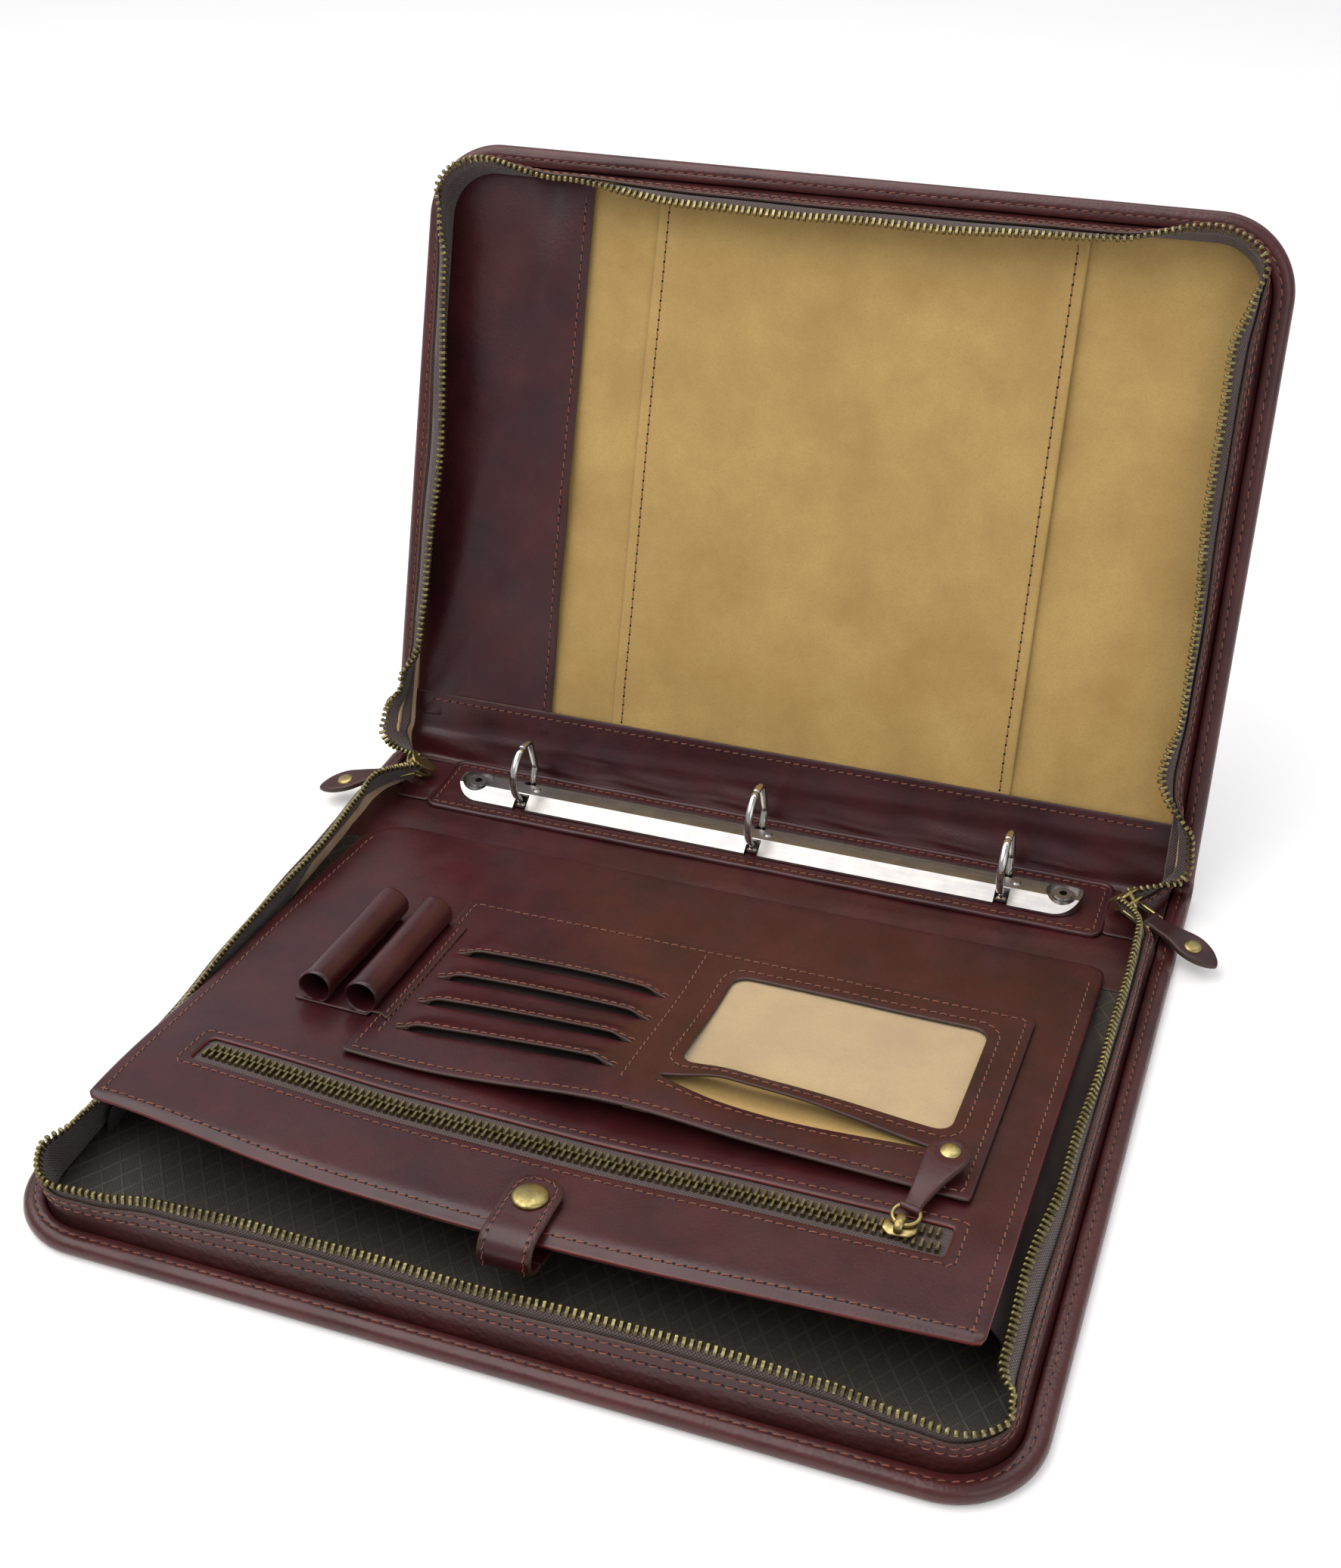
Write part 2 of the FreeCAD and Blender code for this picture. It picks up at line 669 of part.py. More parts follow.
def pocket_slider():
    """Slider body riding on the chain, with a bridge for the pull ring."""
    z = slider_floor()
    body = box(SLIDER_X - SLIDER_L / 2, SLIDER_X + SLIDER_L / 2, ZIP_MID_Y - SLIDER_W / 2,
               ZIP_MID_Y + SLIDER_W / 2, z, z + 1.4)
    corners = [edge for edge in body.Edges if edge.BoundBox.ZLength > 1]
    body = body.makeFillet(2.0, corners)
    arch = box(SLIDER_X - 1.2, SLIDER_X + 1.2, ZIP_MID_Y - 3.4, ZIP_MID_Y + 3.4,
               z + 1.4, z + SLIDER_H + 1.2)
    window = box(SLIDER_X - 2, SLIDER_X + 2, ZIP_MID_Y - 2.3, ZIP_MID_Y + 2.3,
                 z + 1.4, z + SLIDER_H + 0.2)
    return body.fuse(arch.cut(window))


def pull_point():
    """Pivot of the pull ring in flat organiser coordinates."""
    return Vec(SLIDER_X, ZIP_MID_Y, slider_floor() + 2.6)


def pocket_pull_nodes():
    """Round ring, leather tab and rivet, lying back over the card panel."""
    centre_y = PULL_RING_R - 0.2
    ring = Part.makeTorus(PULL_RING_R, PULL_WIRE_R, Vec(0, centre_y, 0), Z_AXIS)
    tab = leaf_tab(PULL_TAB_L, PULL_TAB_W, PULL_TAB_ROOT, PULL_TAB_T, 0.74)
    tab.rotate(Vec(0, 0, 0), Z_AXIS, 90)
    root_y = centre_y + PULL_RING_R - 2.0
    tab.translate(Vec(0, root_y, -PULL_TAB_T / 2))
    sleeve = Part.makeTorus(PULL_RING_R, PULL_WIRE_R + 0.15, Vec(0, centre_y, 0), Z_AXIS)
    tab = tab.cut(sleeve)
    rivet_at = Vec(0, root_y + PULL_TAB_L * 0.78, -PULL_TAB_T / 2)
    rivet = Part.makeCylinder(1.4, PULL_TAB_T, rivet_at)
    tab = tab.cut(rivet)
    rivet = rivet.fuse(Part.makeCylinder(3.7, 0.7, rivet_at + Z_AXIS * PULL_TAB_T))
    pieces = {"pocket_pull_ring": ring, "pocket_pull_tab": tab, "pocket_pull_rivet": rivet}
    for piece in pieces.values():
        piece.rotate(Vec(0, 0, 0), Z_AXIS, PULL_TURN)
        piece.rotate(Vec(0, 0, 0), X_AXIS, 8)
        piece.translate(pull_point())
    return pieces


def card_slot(y):
    """One thumb-cut card slot, bowed a little towards the back."""
    middle = (SLOT_X0 + SLOT_X1) / 2
    ends = [Vec(SLOT_X0, y, 0), Vec(SLOT_X1, y, 0)]
    low = Part.Arc(ends[0], Vec(middle, y + 1.5, 0), ends[1]).toShape()
    high = Part.Arc(ends[1], Vec(middle, y + 1.5 + SLOT_GAPE, 0), ends[0]).toShape()
    return Part.Face(Part.Wire([low, high])).extrude(Vec(0, 0, 20))


def card_nodes():
    z = PANEL_H + SLACK
    leather_z = z + CARD_LINING_T + CARD_GAP
    top_z = leather_z + CARD_T
    lining = box(CARD_X0 + 2, CARD_X1 - 2, CARD_Y0 + 4, CARD_Y1 - 2, z, z + CARD_LINING_T)
    panel = box(CARD_X0, CARD_X1, CARD_Y0, CARD_Y1, leather_z, top_z)
    for step in range(SLOT_COUNT):
        panel = panel.cut(card_slot(SLOT_Y_FIRST + step * SLOT_PITCH))
    opening = box(WINDOW_X0, WINDOW_X1, WINDOW_Y0, WINDOW_Y1, 0, 20)
    corners = [edge for edge in opening.Edges if edge.BoundBox.ZLength > 1]
    panel = panel.cut(opening.makeFillet(6.0, corners))
    panel = panel.cut(box(WINDOW_X0 - 3, WINDOW_X1, SLIT_Y, SLIT_Y + SLIT_W, 0, 20))
    film = box(WINDOW_X0 - 4, WINDOW_X1 + 4, WINDOW_Y0 - 4, WINDOW_Y1 + 4,
               leather_z - SLACK / 2 - FILM_T, leather_z - SLACK / 2)
    return {"card_panel": panel, "card_lining": lining, "window_film": film}


def pen_loop(x):
    """A leather sleeve for one pen, open at both ends."""
    centre = Vec(x, PEN_Y0, PANEL_H + PEN_STRIP_T + 2 * SLACK + PEN_R)
    return tube(PEN_R, PEN_R - PEN_T, PEN_Y1 - PEN_Y0, centre, Y_AXIS)


def pen_nodes():
    z = PANEL_H + SLACK
    left = PEN_X[0] - PEN_R - 2
    strip = box(left, CARD_X0 - 0.3, PEN_Y0 - 2, PEN_Y1 + 2, z, z + PEN_STRIP_T)
    return {
        "pen_strip": strip,
        "left_pen_loop": pen_loop(PEN_X[0]),
        "right_pen_loop": pen_loop(PEN_X[1]),
    }


def strap_section():
    """Side view of the strap (y, z): over the panel, round the front and under it."""
    top = PANEL_H + STRAP_T + 0.4
    low = top - STRAP_DROP
    nose = PANEL_FRONT - STRAP_REACH
    radius = (top - low) / 2
    return top, low, nose, radius


def snap_strap():
    top, low, nose, radius = strap_section()
    back_y = STRAP_SNAP_Y + 12.0
    centre = Vec(0, nose + radius, (top + low) / 2)
    x0 = STRAP_X - STRAP_W / 2
    bend = tube(radius, radius - STRAP_T, STRAP_W, Vec(x0, centre.y, centre.z), X_AXIS)
    bend = bend.cut(box(x0 - 1, x0 + STRAP_W + 1, centre.y, centre.y + 20, -20, 20))
    upper = box(x0, x0 + STRAP_W, centre.y, back_y, top - STRAP_T, top)
    ends = [
        edge for edge in upper.Edges
        if edge.BoundBox.ZLength > 1 and edge.BoundBox.YMin > centre.y + 1
    ]
    upper = upper.makeFillet(STRAP_W / 2 - 0.5, ends)
    socket = Part.makeCylinder(1.8, 4, Vec(STRAP_X, STRAP_SNAP_Y, PANEL_H))
    return bend.fuse(upper).cut(socket)


def snap_nodes():
    top = strap_section()[0]
    cap = Part.makeCone(SNAP_R, SNAP_R - 1.6, SNAP_H * 0.6,
                        Vec(STRAP_X, STRAP_SNAP_Y, top))
    stem = Part.makeCylinder(1.7, STRAP_T, Vec(STRAP_X, STRAP_SNAP_Y, top - STRAP_T))
    stud = Part.makeCone(1.6, 1.3, 0.3, Vec(STRAP_X, STRAP_SNAP_Y, PANEL_H))
    plate = Part.makeCylinder(4.5, 0.6, Vec(STRAP_X, STRAP_SNAP_Y, -0.7))
    return {"snap_strap": snap_strap(), "snap_cap": cap.fuse(stem),
            "snap_stud": compound([stud, plate])}


def strap_tail():
    """The strap's fixed end, from the bulge back and down to the base lining."""
    top, low, nose, radius = strap_section()
    start = tilted(Vec(0, nose + 2 * radius + 1.0, low))
    foot = Vec(0, start.y + 30, FLOOR_Z + SLACK)
    x0 = STRAP_X - STRAP_W / 2
    outline = [
        Vec(x0, start.y, start.z), Vec(x0, start.y, start.z + TAIL_T),
        Vec(x0, foot.y, foot.z + TAIL_T), Vec(x0, foot.y + 14, foot.z + TAIL_T),
        Vec(x0, foot.y + 14, foot.z), Vec(x0, foot.y, foot.z),
    ]
    return polygon_prism(outline, X_AXIS * STRAP_W)


def gusset():
    """Right-hand gusset: a wedge of cloth from the lining up to the panel's underside."""
    slope = math.tan(math.radians(PANEL_TILT))
    floor = FLOOR_Z + SLACK
    front_top = floor + (PANEL_BACK.y - GUSSET_Y0) * slope - 1.0
    back_top = floor + (PANEL_BACK.y - GUSSET_Y1) * slope - 1.0
    outline = [
        Vec(GUSSET_X, GUSSET_Y0, floor), Vec(GUSSET_X, GUSSET_Y1, floor),
        Vec(GUSSET_X, GUSSET_Y1, back_top), Vec(GUSSET_X, GUSSET_Y0, front_top),
    ]
    return polygon_prism(outline, X_AXIS * -GUSSET_T)


# ---------------------------------------------------------------- assembly

def build_nodes():
    nodes = {}
    for name, shape in leaf_nodes().items():
        nodes["base_" + name] = place_base(shape)
        nodes["lid_" + name] = place_lid(shape)
    for name, shape in lid_interior().items():
        nodes[name] = place_lid(shape)
    nodes.update(spine_nodes())
    nodes.update(ring_nodes())

    nodes["right_main_slider"] = main_slider()
    for name, shape in main_pull_nodes().items():
        nodes["right_pull_" + name] = shape
    for name in ("main_slider", "pull_link", "pull_tab", "pull_rivet"):
        nodes["left_" + name] = mirrored(nodes["right_" + name])

    flat = {"organiser_panel": organiser_panel(), "organiser_backing": organiser_backing()}
    flat.update(pocket_zip_nodes())
    flat["pocket_slider"] = pocket_slider()
    flat.update(pocket_pull_nodes())
    flat.update(card_nodes())
    flat.update(pen_nodes())
    flat.update(snap_nodes())
    for name, shape in flat.items():
        nodes[name] = place_organiser(shape)

    nodes["strap_tail"] = strap_tail()
    nodes["right_gusset"] = gusset()
    nodes["left_gusset"] = mirrored(gusset()).translated(Vec(-2.0, 0, 0))
    return nodes


def main():
    os.makedirs("parts", exist_ok=True)
    nodes = build_nodes()
    for name, shape in nodes.items():
        if not shape.isValid() or shape.Volume <= 0:
            raise SystemExit("bad solid in " + name)
        shape.exportStep("parts/" + name + ".step")
        print("%-20s %9.1f mm3  %d solid(s)" % (name, shape.Volume, len(shape.Solids)))
    print(len(nodes), "nodes")
    top, low, nose, radius = strap_section()
    hinges = {
        "fold 1": FOLD_1, "fold 2": FOLD_2, "organiser": PANEL_BACK,
        "front blade": Vec(0, SPINE_MID_Y - BLADE_GAP / 2 - BLADE_W, BLADE_Z + BLADE_T / 2),
        "rear blade": Vec(0, SPINE_MID_Y + BLADE_GAP / 2 + BLADE_W, BLADE_Z + BLADE_T / 2),
        "main pull": main_pull_point(), "pocket pull": tilted(pull_point()),
        "strap": tilted(Vec(STRAP_X, nose + radius, (top + low) / 2)),
    }
    for name, point in hinges.items():
        print("%-12s %8.3f %8.3f %8.3f" % (name, point.x, point.y, point.z))


main()
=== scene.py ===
import json
import math
import random

import bmesh
import bpy
import numpy as np
from mathutils import Matrix, Vector
from mathutils.geometry import delaunay_2d_cdt as delaunay

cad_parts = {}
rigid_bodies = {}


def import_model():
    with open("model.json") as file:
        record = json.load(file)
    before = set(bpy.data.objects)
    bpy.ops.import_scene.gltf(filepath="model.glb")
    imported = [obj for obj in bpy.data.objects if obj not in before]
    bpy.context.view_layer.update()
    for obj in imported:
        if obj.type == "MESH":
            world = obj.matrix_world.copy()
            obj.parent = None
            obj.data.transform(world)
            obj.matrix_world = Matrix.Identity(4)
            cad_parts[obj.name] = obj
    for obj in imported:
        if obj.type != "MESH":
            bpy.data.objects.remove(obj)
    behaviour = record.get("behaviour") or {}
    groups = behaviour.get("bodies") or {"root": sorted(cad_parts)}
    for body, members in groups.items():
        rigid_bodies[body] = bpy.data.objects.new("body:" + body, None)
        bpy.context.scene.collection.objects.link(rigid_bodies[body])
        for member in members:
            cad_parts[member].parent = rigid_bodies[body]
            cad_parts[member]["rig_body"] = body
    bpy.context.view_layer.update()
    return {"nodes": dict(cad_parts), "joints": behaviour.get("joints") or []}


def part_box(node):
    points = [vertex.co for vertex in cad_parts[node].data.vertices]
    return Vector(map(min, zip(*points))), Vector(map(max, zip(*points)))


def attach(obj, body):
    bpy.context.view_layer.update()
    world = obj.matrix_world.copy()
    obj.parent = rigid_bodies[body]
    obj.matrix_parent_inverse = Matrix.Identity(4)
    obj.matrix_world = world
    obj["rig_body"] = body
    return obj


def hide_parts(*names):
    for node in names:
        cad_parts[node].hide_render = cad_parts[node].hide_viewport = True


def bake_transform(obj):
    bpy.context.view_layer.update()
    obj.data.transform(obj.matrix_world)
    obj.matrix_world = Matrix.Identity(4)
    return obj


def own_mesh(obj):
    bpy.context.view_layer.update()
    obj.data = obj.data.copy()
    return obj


# Looks of a zip-round leather portfolio case, standing open.
#
# Lengths are in millimetres in the CAD frame and are scaled to metres when a mesh is made.
# Three local spaces are used: "leaf" (x, v from the fold to the free edge, z up from the
# skin) for the base and the lid, "panel" (x, y, height) for the tilted organiser, and the
# frame's own space for the rest.

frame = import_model()
MM = 0.001
JOINTS = {joint["name"]: joint for joint in frame["joints"]}
random.seed(7)


def joint_point(name):
    return Vector(JOINTS[name]["pos_m"]) / MM


def node_box(name):
    low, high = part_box(name)
    return low / MM, high / MM


# ---------------------------------------------------------------- places from the frame

FOLD_1 = joint_point("spine_fold")
FOLD_2 = joint_point("lid_fold")
PANEL_BACK = joint_point("organiser_press")
WIDTH = 2 * node_box("base_cover")[1].x
DEPTH = 2 * FOLD_1.y
SPINE = FOLD_2.y - FOLD_1.y
SPINE_MID_Y = (FOLD_1.y + FOLD_2.y) / 2
LID_UP = 70.0              # turn of the lid from lying flat to its place at rest, degrees
PANEL_TILT = 6.0
CORNER_R = 32.0

# Padded edge, zip wall and zip of a leaf, as insets from the outer edge and heights
EDGE_H = 6.5
SPINE_EDGE_H = 5.4
FOLD_EDGE_H = 4.3
FLANGE_STITCH_IN = 4.8
WALL_TOP_IN = 11.8
WALL_TOP_Z = 19.6
WALL_T = 1.3
TEETH_Z = 22.4
ZIP_MEAN_IN = 17.5
BEND_REACH = 12.0          # length of hide that bends at a fold


def turned(point, centre, degrees):
    """A point turned about the X direction through a centre."""
    angle = math.radians(degrees)
    y = point.y - centre.y
    z = point.z - centre.z
    return Vector((point.x, centre.y + y * math.cos(angle) - z * math.sin(angle),
                   centre.z + y * math.sin(angle) + z * math.cos(angle)))


def smooth(t):
    t = min(max(t, 0.0), 1.0)
    return t * t * (3 - 2 * t)


def base_at(x, v, z):
    return Vector((-x, FOLD_1.y - v, z))


def lid_at(x, v, z):
    """Leaf coordinates on the lid; it bends up over the first stretch past the fold."""
    flat = Vector((x, FOLD_2.y + v, z))
    return turned(flat, FOLD_2, LID_UP * smooth(v / BEND_REACH))


def eased(controls):
    """A smooth curve through (position, value) pairs."""
    places = [place for place, value in controls]
    values = [value for place, value in controls]

    def curve(position):
        if position <= places[0]:
            return values[0]
        for i in range(len(places) - 1):
            if position <= places[i + 1]:
                t = (position - places[i]) / (places[i + 1] - places[i])
                return values[i] + (values[i + 1] - values[i]) * smooth(t)
        return values[-1]
    return curve


# ---------------------------------------------------------------- materials

class Shader:
    """A Principled material built node by node."""

    def __init__(self, name, **sockets):
        self.material = bpy.data.materials.new(name)
        self.material.use_nodes = True
        self.tree = self.material.node_tree
        self.surface = self.tree.nodes["Principled BSDF"]
        for socket, value in sockets.items():
            self.surface.inputs[socket.replace("_", " ")].default_value = value
        coords = self.tree.nodes.new("ShaderNodeTexCoord")
        self.place = coords.outputs["Object"]
        self.uv = coords.outputs["UV"]

    def node(self, kind, inputs=(), **settings):
        made = self.tree.nodes.new("ShaderNode" + kind)
        for key, value in settings.items():
            setattr(made, key, value)
        for key, value in dict(inputs).items():
            self.feed(made.inputs[key], value)
        return made

    def feed(self, socket, value):
        if isinstance(value, bpy.types.NodeSocket):
            self.tree.links.new(value, socket)
        else:
            socket.default_value = value

    def noise(self, scale, detail=2.0, where=None, rough=0.5, distort=0.0):
        made = self.node("TexNoise", {"Vector": where or self.place, "Scale": scale,
                                      "Detail": detail, "Roughness": rough,
                                      "Distortion": distort})
        return made.outputs["Fac"]

    def cells(self, scale, feature):
        made = self.node("TexVoronoi", {"Vector": self.place, "Scale": scale}, feature=feature)
        return made.outputs["Distance"]

    def stripes(self, period_mm, direction="X", where=None):
        """Waves across the UVs, which are in millimetres."""
        scale = math.pi / 10 / period_mm
        made = self.node("TexWave", {"Vector": where or self.uv, "Scale": scale},
                         bands_direction=direction)
        return made.outputs["Fac"]

    def remap(self, value, low, high, to_low=0.0, to_high=1.0):
        made = self.node("MapRange", {"Value": value, "From Min": low, "From Max": high,
                                      "To Min": to_low, "To Max": to_high})
        return made.outputs["Result"]

    def math(self, operation, a, b=0.0):
        return self.node("Math", {0: a, 1: b}, operation=operation).outputs[0]

    def moved(self, where, scale=(1, 1, 1), turn=0.0):
        made = self.node("Mapping", {"Vector": where, "Scale": scale,
                                     "Rotation": (0, 0, math.radians(turn))})
        return made.outputs["Vector"]

    def mix(self, factor, a, b):
        made = self.node("Mix", data_type="RGBA")
        for socket, value in ((made.inputs[0], factor), (made.inputs[6], a),
                              (made.inputs[7], b)):
            self.feed(socket, value)
        return made.outputs[2]

    def colour(self, value):
        self.feed(self.surface.inputs["Base Color"], value)

    def roughness(self, value):
        self.feed(self.surface.inputs["Roughness"], value)

    def bump(self, height, depth_mm, strength=1.0):
        """Adds a bump layer; later layers ride on the earlier ones."""
        made = self.node("Bump", {"Height": height, "Distance": depth_mm * MM,
                                  "Strength": strength})
        normal = self.surface.inputs["Normal"]
        if normal.links:
            self.tree.links.new(normal.links[0].from_socket, made.inputs["Normal"])
        self.tree.links.new(made.outputs["Normal"], normal)


def rgb(red, green, blue):
    """A linear colour from sRGB values of 0 to 255."""
    def linear(value):
        value /= 255.0
        return value / 12.92 if value <= 0.04045 else ((value + 0.055) / 1.055) ** 2.4
    return (linear(red), linear(green), linear(blue), 1.0)


def leather(name, deep, mid, warm, gloss, grain_mm, grain_depth, crease_depth=0.03):
    """Dyed hide: mottled colour, pebble grain, fine pores and a few soft creases."""
    shader = Shader(name, Coat_Weight=0.16, Coat_Roughness=0.25)
    shader.surface.inputs["Specular IOR Level"].default_value = 0.4
    clouds = shader.noise(38, 4, rough=0.6)
    patches = shader.noise(9, 3, distort=0.4)
    speckle = shader.noise(900, 2)
    tone = shader.mix(shader.remap(clouds, 0.32, 0.68), deep, mid)
    tone = shader.mix(shader.remap(patches, 0.42, 0.72, 0.0, 0.4), tone, warm)
    tone = shader.mix(shader.remap(speckle, 0.35, 0.7, 0.0, 0.22), tone, deep)
    shader.colour(tone)
    worn = shader.noise(60, 3)
    shader.roughness(shader.remap(worn, 0.3, 0.7, gloss - 0.06, gloss + 0.09))
    creases = shader.noise(70, 5, rough=0.65, distort=1.2)
    shader.bump(creases, crease_depth * 4)
    grain = shader.cells(1000.0 / grain_mm, "SMOOTH_F1")
    shader.bump(grain, grain_depth)
    pores = shader.noise(2600, 2)
    shader.bump(pores, 0.015)
    return shader.material


HIDE = leather("hide_leather", rgb(56, 22, 23), rgb(80, 33, 32), rgb(92, 40, 34), 0.34, 1.5,
               0.12, 0.05)
WALL = leather("wall_leather", rgb(46, 18, 18), rgb(68, 28, 27), rgb(80, 35, 30), 0.38, 1.9,
               0.22, 0.06)
PANEL = leather("panel_leather", rgb(44, 15, 19), rgb(70, 25, 28), rgb(76, 28, 28), 0.34, 1.1,
                0.05)
# Lighter, redder leather for the rolled turned edges: a painted highlight where the edge catches the
# light.
TURNED_EDGE_HIGHLIGHT = leather("turned_edge_highlight_leather", rgb(72, 20, 19), rgb(96, 32, 28), rgb(112, 42, 34),
                      0.3, 1.1, 0.05)


def cut_edge():
    """Burnished cut edge of the leather: dark, fibrous."""
    shader = Shader("leather_edge")
    fibres = shader.noise(1500, 3, shader.moved(shader.place, (1, 1, 4)))
    shader.colour(shader.mix(shader.remap(fibres, 0.35, 0.65), rgb(34, 20, 15),
                             rgb(78, 48, 36)))
    shader.roughness(0.55)
    shader.bump(fibres, 0.12)
    return shader.material


def suede():
    """Flesh side of the hide, tan and matt."""
    shader = Shader("suede", Sheen_Weight=0.25, Sheen_Roughness=0.5)
    clouds = shader.noise(30, 4, rough=0.6)
    fibres = shader.noise(1400, 4, rough=0.7)
    tone = shader.mix(shader.remap(clouds, 0.3, 0.7), rgb(168, 135, 74), rgb(188, 156, 90))
    tone = shader.mix(shader.remap(fibres, 0.45, 0.8, 0.0, 0.5), tone, rgb(146, 112, 62))
    shader.colour(tone)
    shader.roughness(shader.remap(fibres, 0.3, 0.7, 0.62, 0.85))
    shader.bump(clouds, 0.25)
    shader.bump(fibres, 0.08)
    return shader.material


def flesh():
    """Pale flesh side seen inside the loose loops of the zip walls."""
    shader = Shader("flesh_side", Sheen_Weight=0.3)
    clouds = shader.noise(80, 3)
    fibres = shader.noise(1800, 4, rough=0.7)
    tone = shader.mix(shader.remap(clouds, 0.3, 0.7), rgb(186, 148, 108), rgb(214, 182, 142))
    shader.colour(shader.mix(shader.remap(fibres, 0.5, 0.8, 0, 0.4), tone, rgb(160, 120, 84)))
    shader.roughness(0.8)
    shader.bump(fibres, 0.1)
    return shader.material


def jacquard():
    """Dark lining cloth woven with a lattice of diamonds, over a fine diagonal rib."""
    shader = Shader("jacquard_cloth", Sheen_Weight=0.15, Sheen_Roughness=0.4)
    lattice_a = shader.stripes(7.0, "X", shader.moved(shader.uv, turn=36))
    lattice_b = shader.stripes(7.0, "X", shader.moved(shader.uv, turn=-36))
    lines = shader.math("MAXIMUM", shader.remap(lattice_a, 0.93, 0.985),
                        shader.remap(lattice_b, 0.93, 0.985))
    rib = shader.stripes(0.7, "DIAGONAL")
    slub = shader.noise(900, 3)
    tone = shader.mix(shader.remap(slub, 0.3, 0.7), rgb(36, 31, 27), rgb(50, 43, 37))
    tone = shader.mix(shader.math("MULTIPLY", lines, 0.5), tone, rgb(74, 64, 56))
    shader.colour(tone)
    shader.roughness(shader.remap(lines, 0, 1, 0.62, 0.42))
    shader.bump(lines, 0.12)
    shader.bump(rib, 0.025)
    shader.bump(slub, 0.04)
    return shader.material


def plain_cloth():
    shader = Shader("gusset_cloth", Sheen_Weight=0.1)
    weave = shader.stripes(0.5, "X")
    weft = shader.stripes(0.5, "Y")
    clouds = shader.noise(60, 3)
    shader.colour(shader.mix(shader.remap(clouds, 0.3, 0.7), rgb(36, 22, 20), rgb(52, 33, 30)))
    shader.roughness(0.6)
    shader.bump(shader.math("ADD", weave, weft), 0.05)
    return shader.material


def woven_tape():
    """Zip tape: dark brown herringbone with a paler rib."""
    shader = Shader("zip_tape", Sheen_Weight=0.2)
    up = shader.stripes(0.9, "X", shader.moved(shader.uv, turn=45))
    down = shader.stripes(0.9, "X", shader.moved(shader.uv, turn=-45))
    column = shader.stripes(2.0, "Y")
    weave = shader.math("MULTIPLY", shader.math("ADD", up, down), 0.5)
    speckle = shader.noise(2200, 2)
    tone = shader.mix(shader.remap(weave, 0.25, 0.75), rgb(38, 25, 23), rgb(98, 78, 74))
    tone = shader.mix(shader.remap(speckle, 0.4, 0.8, 0, 0.5), tone, rgb(38, 26, 24))
    shader.colour(tone)
    shader.roughness(0.75)
    shader.bump(weave, 0.3)
    shader.bump(column, 0.06)
    return shader.material


def antique_brass(name, bright, dark, gloss):
    shader = Shader(name, Metallic=1.0)
    patina = shader.noise(420, 4, rough=0.6)
    cloud = shader.noise(90, 3)
    tone = shader.mix(shader.remap(patina, 0.35, 0.68), dark, bright)
    shader.colour(shader.mix(shader.remap(cloud, 0.35, 0.7, 0, 0.4), tone, bright))
    shader.roughness(shader.remap(patina, 0.3, 0.7, gloss + 0.12, gloss))
    shader.bump(shader.noise(1600, 3), 0.02)
    return shader.material


def nickel(name, gloss, dark, bright):
    shader = Shader(name, Metallic=1.0)
    haze = shader.noise(120, 3)
    brushed = shader.noise(700, 2, shader.moved(shader.place, (0.08, 1, 1)))
    shader.colour(shader.mix(shader.remap(haze, 0.3, 0.7), dark, bright))
    shader.roughness(shader.remap(brushed, 0.3, 0.7, gloss, gloss + 0.08))
    shader.bump(brushed, 0.01)
    return shader.material


def thread():
    """Waxed two-ply thread: the twist runs round each stitch."""
    shader = Shader("thread", Sheen_Weight=0.15)
    twist = shader.stripes(0.5, "DIAGONAL")
    clouds = shader.noise(200, 2)
    tone = shader.mix(shader.remap(clouds, 0.3, 0.7), rgb(120, 66, 44), rgb(156, 92, 62))
    # Darker along the low side of the twist: painted shade in the grooves between the plies.
    shader.colour(shader.mix(shader.remap(twist, 0.0, 0.5, 0.45, 0.0), tone, rgb(76, 38, 26)))
    shader.roughness(0.55)
    shader.bump(twist, 0.08)
    return shader.material


def hole_shade():
    shader = Shader("stitch_hole_shade")
    # Painted shade: near-black colour for the inside of a needle hole.
    shader.colour(shader.mix(shader.noise(800), rgb(16, 8, 8), rgb(30, 14, 12)))
    shader.roughness(0.9)
    return shader.material


def clear_film():
    shader = Shader("clear_film", Roughness=0.06, Alpha=0.07, IOR=1.45)
    ripple = shader.noise(25, 3)
    shader.colour(shader.mix(ripple, rgb(236, 238, 240), rgb(250, 250, 250)))
    shader.bump(ripple, 0.4)
    return shader.material


def pressed_board():
    shader = Shader("board")
    chips = shader.noise(500, 4)
    shader.colour(shader.mix(shader.remap(chips, 0.3, 0.7), rgb(120, 104, 84),
                             rgb(150, 134, 110)))
    shader.roughness(0.9)
    shader.bump(chips, 0.1)
    return shader.material


def felt():
    shader = Shader("felt_padding", Sheen_Weight=0.4)
    fuzz = shader.noise(900, 5, rough=0.7)
    shader.colour(shader.mix(shader.remap(fuzz, 0.3, 0.7), rgb(196, 190, 178),
                             rgb(222, 218, 208)))
    shader.roughness(0.95)
    shader.bump(fuzz, 0.3)
    return shader.material


EDGE = cut_edge()
SUEDE = suede()
FLESH = flesh()
JACQUARD = jacquard()
CLOTH = plain_cloth()
TAPE = woven_tape()
BRASS = antique_brass("antique_brass", rgb(192, 176, 120), rgb(146, 128, 80), 0.3)
TEETH = antique_brass("zip_brass", rgb(160, 148, 104), rgb(84, 74, 46), 0.34)
NICKEL = nickel("nickel_plate", 0.24, rgb(158, 155, 156), rgb(176, 172, 168))
RING_STEEL = nickel("ring_plate", 0.12, rgb(190, 187, 184), rgb(208, 204, 196))
THREAD = thread()
HOLE_SHADE = hole_shade()
FILM = clear_film()
BOARD = pressed_board()
FELT = felt()

# ---------------------------------------------------------------- mesh helpers

RIM_BULGE = 0.3            # how far a ribbon's rim stands out, as a share of its thickness


def angles(count):
    """Evenly spaced angles round a circle."""
    return [2 * math.pi * k / count for k in range(count)]


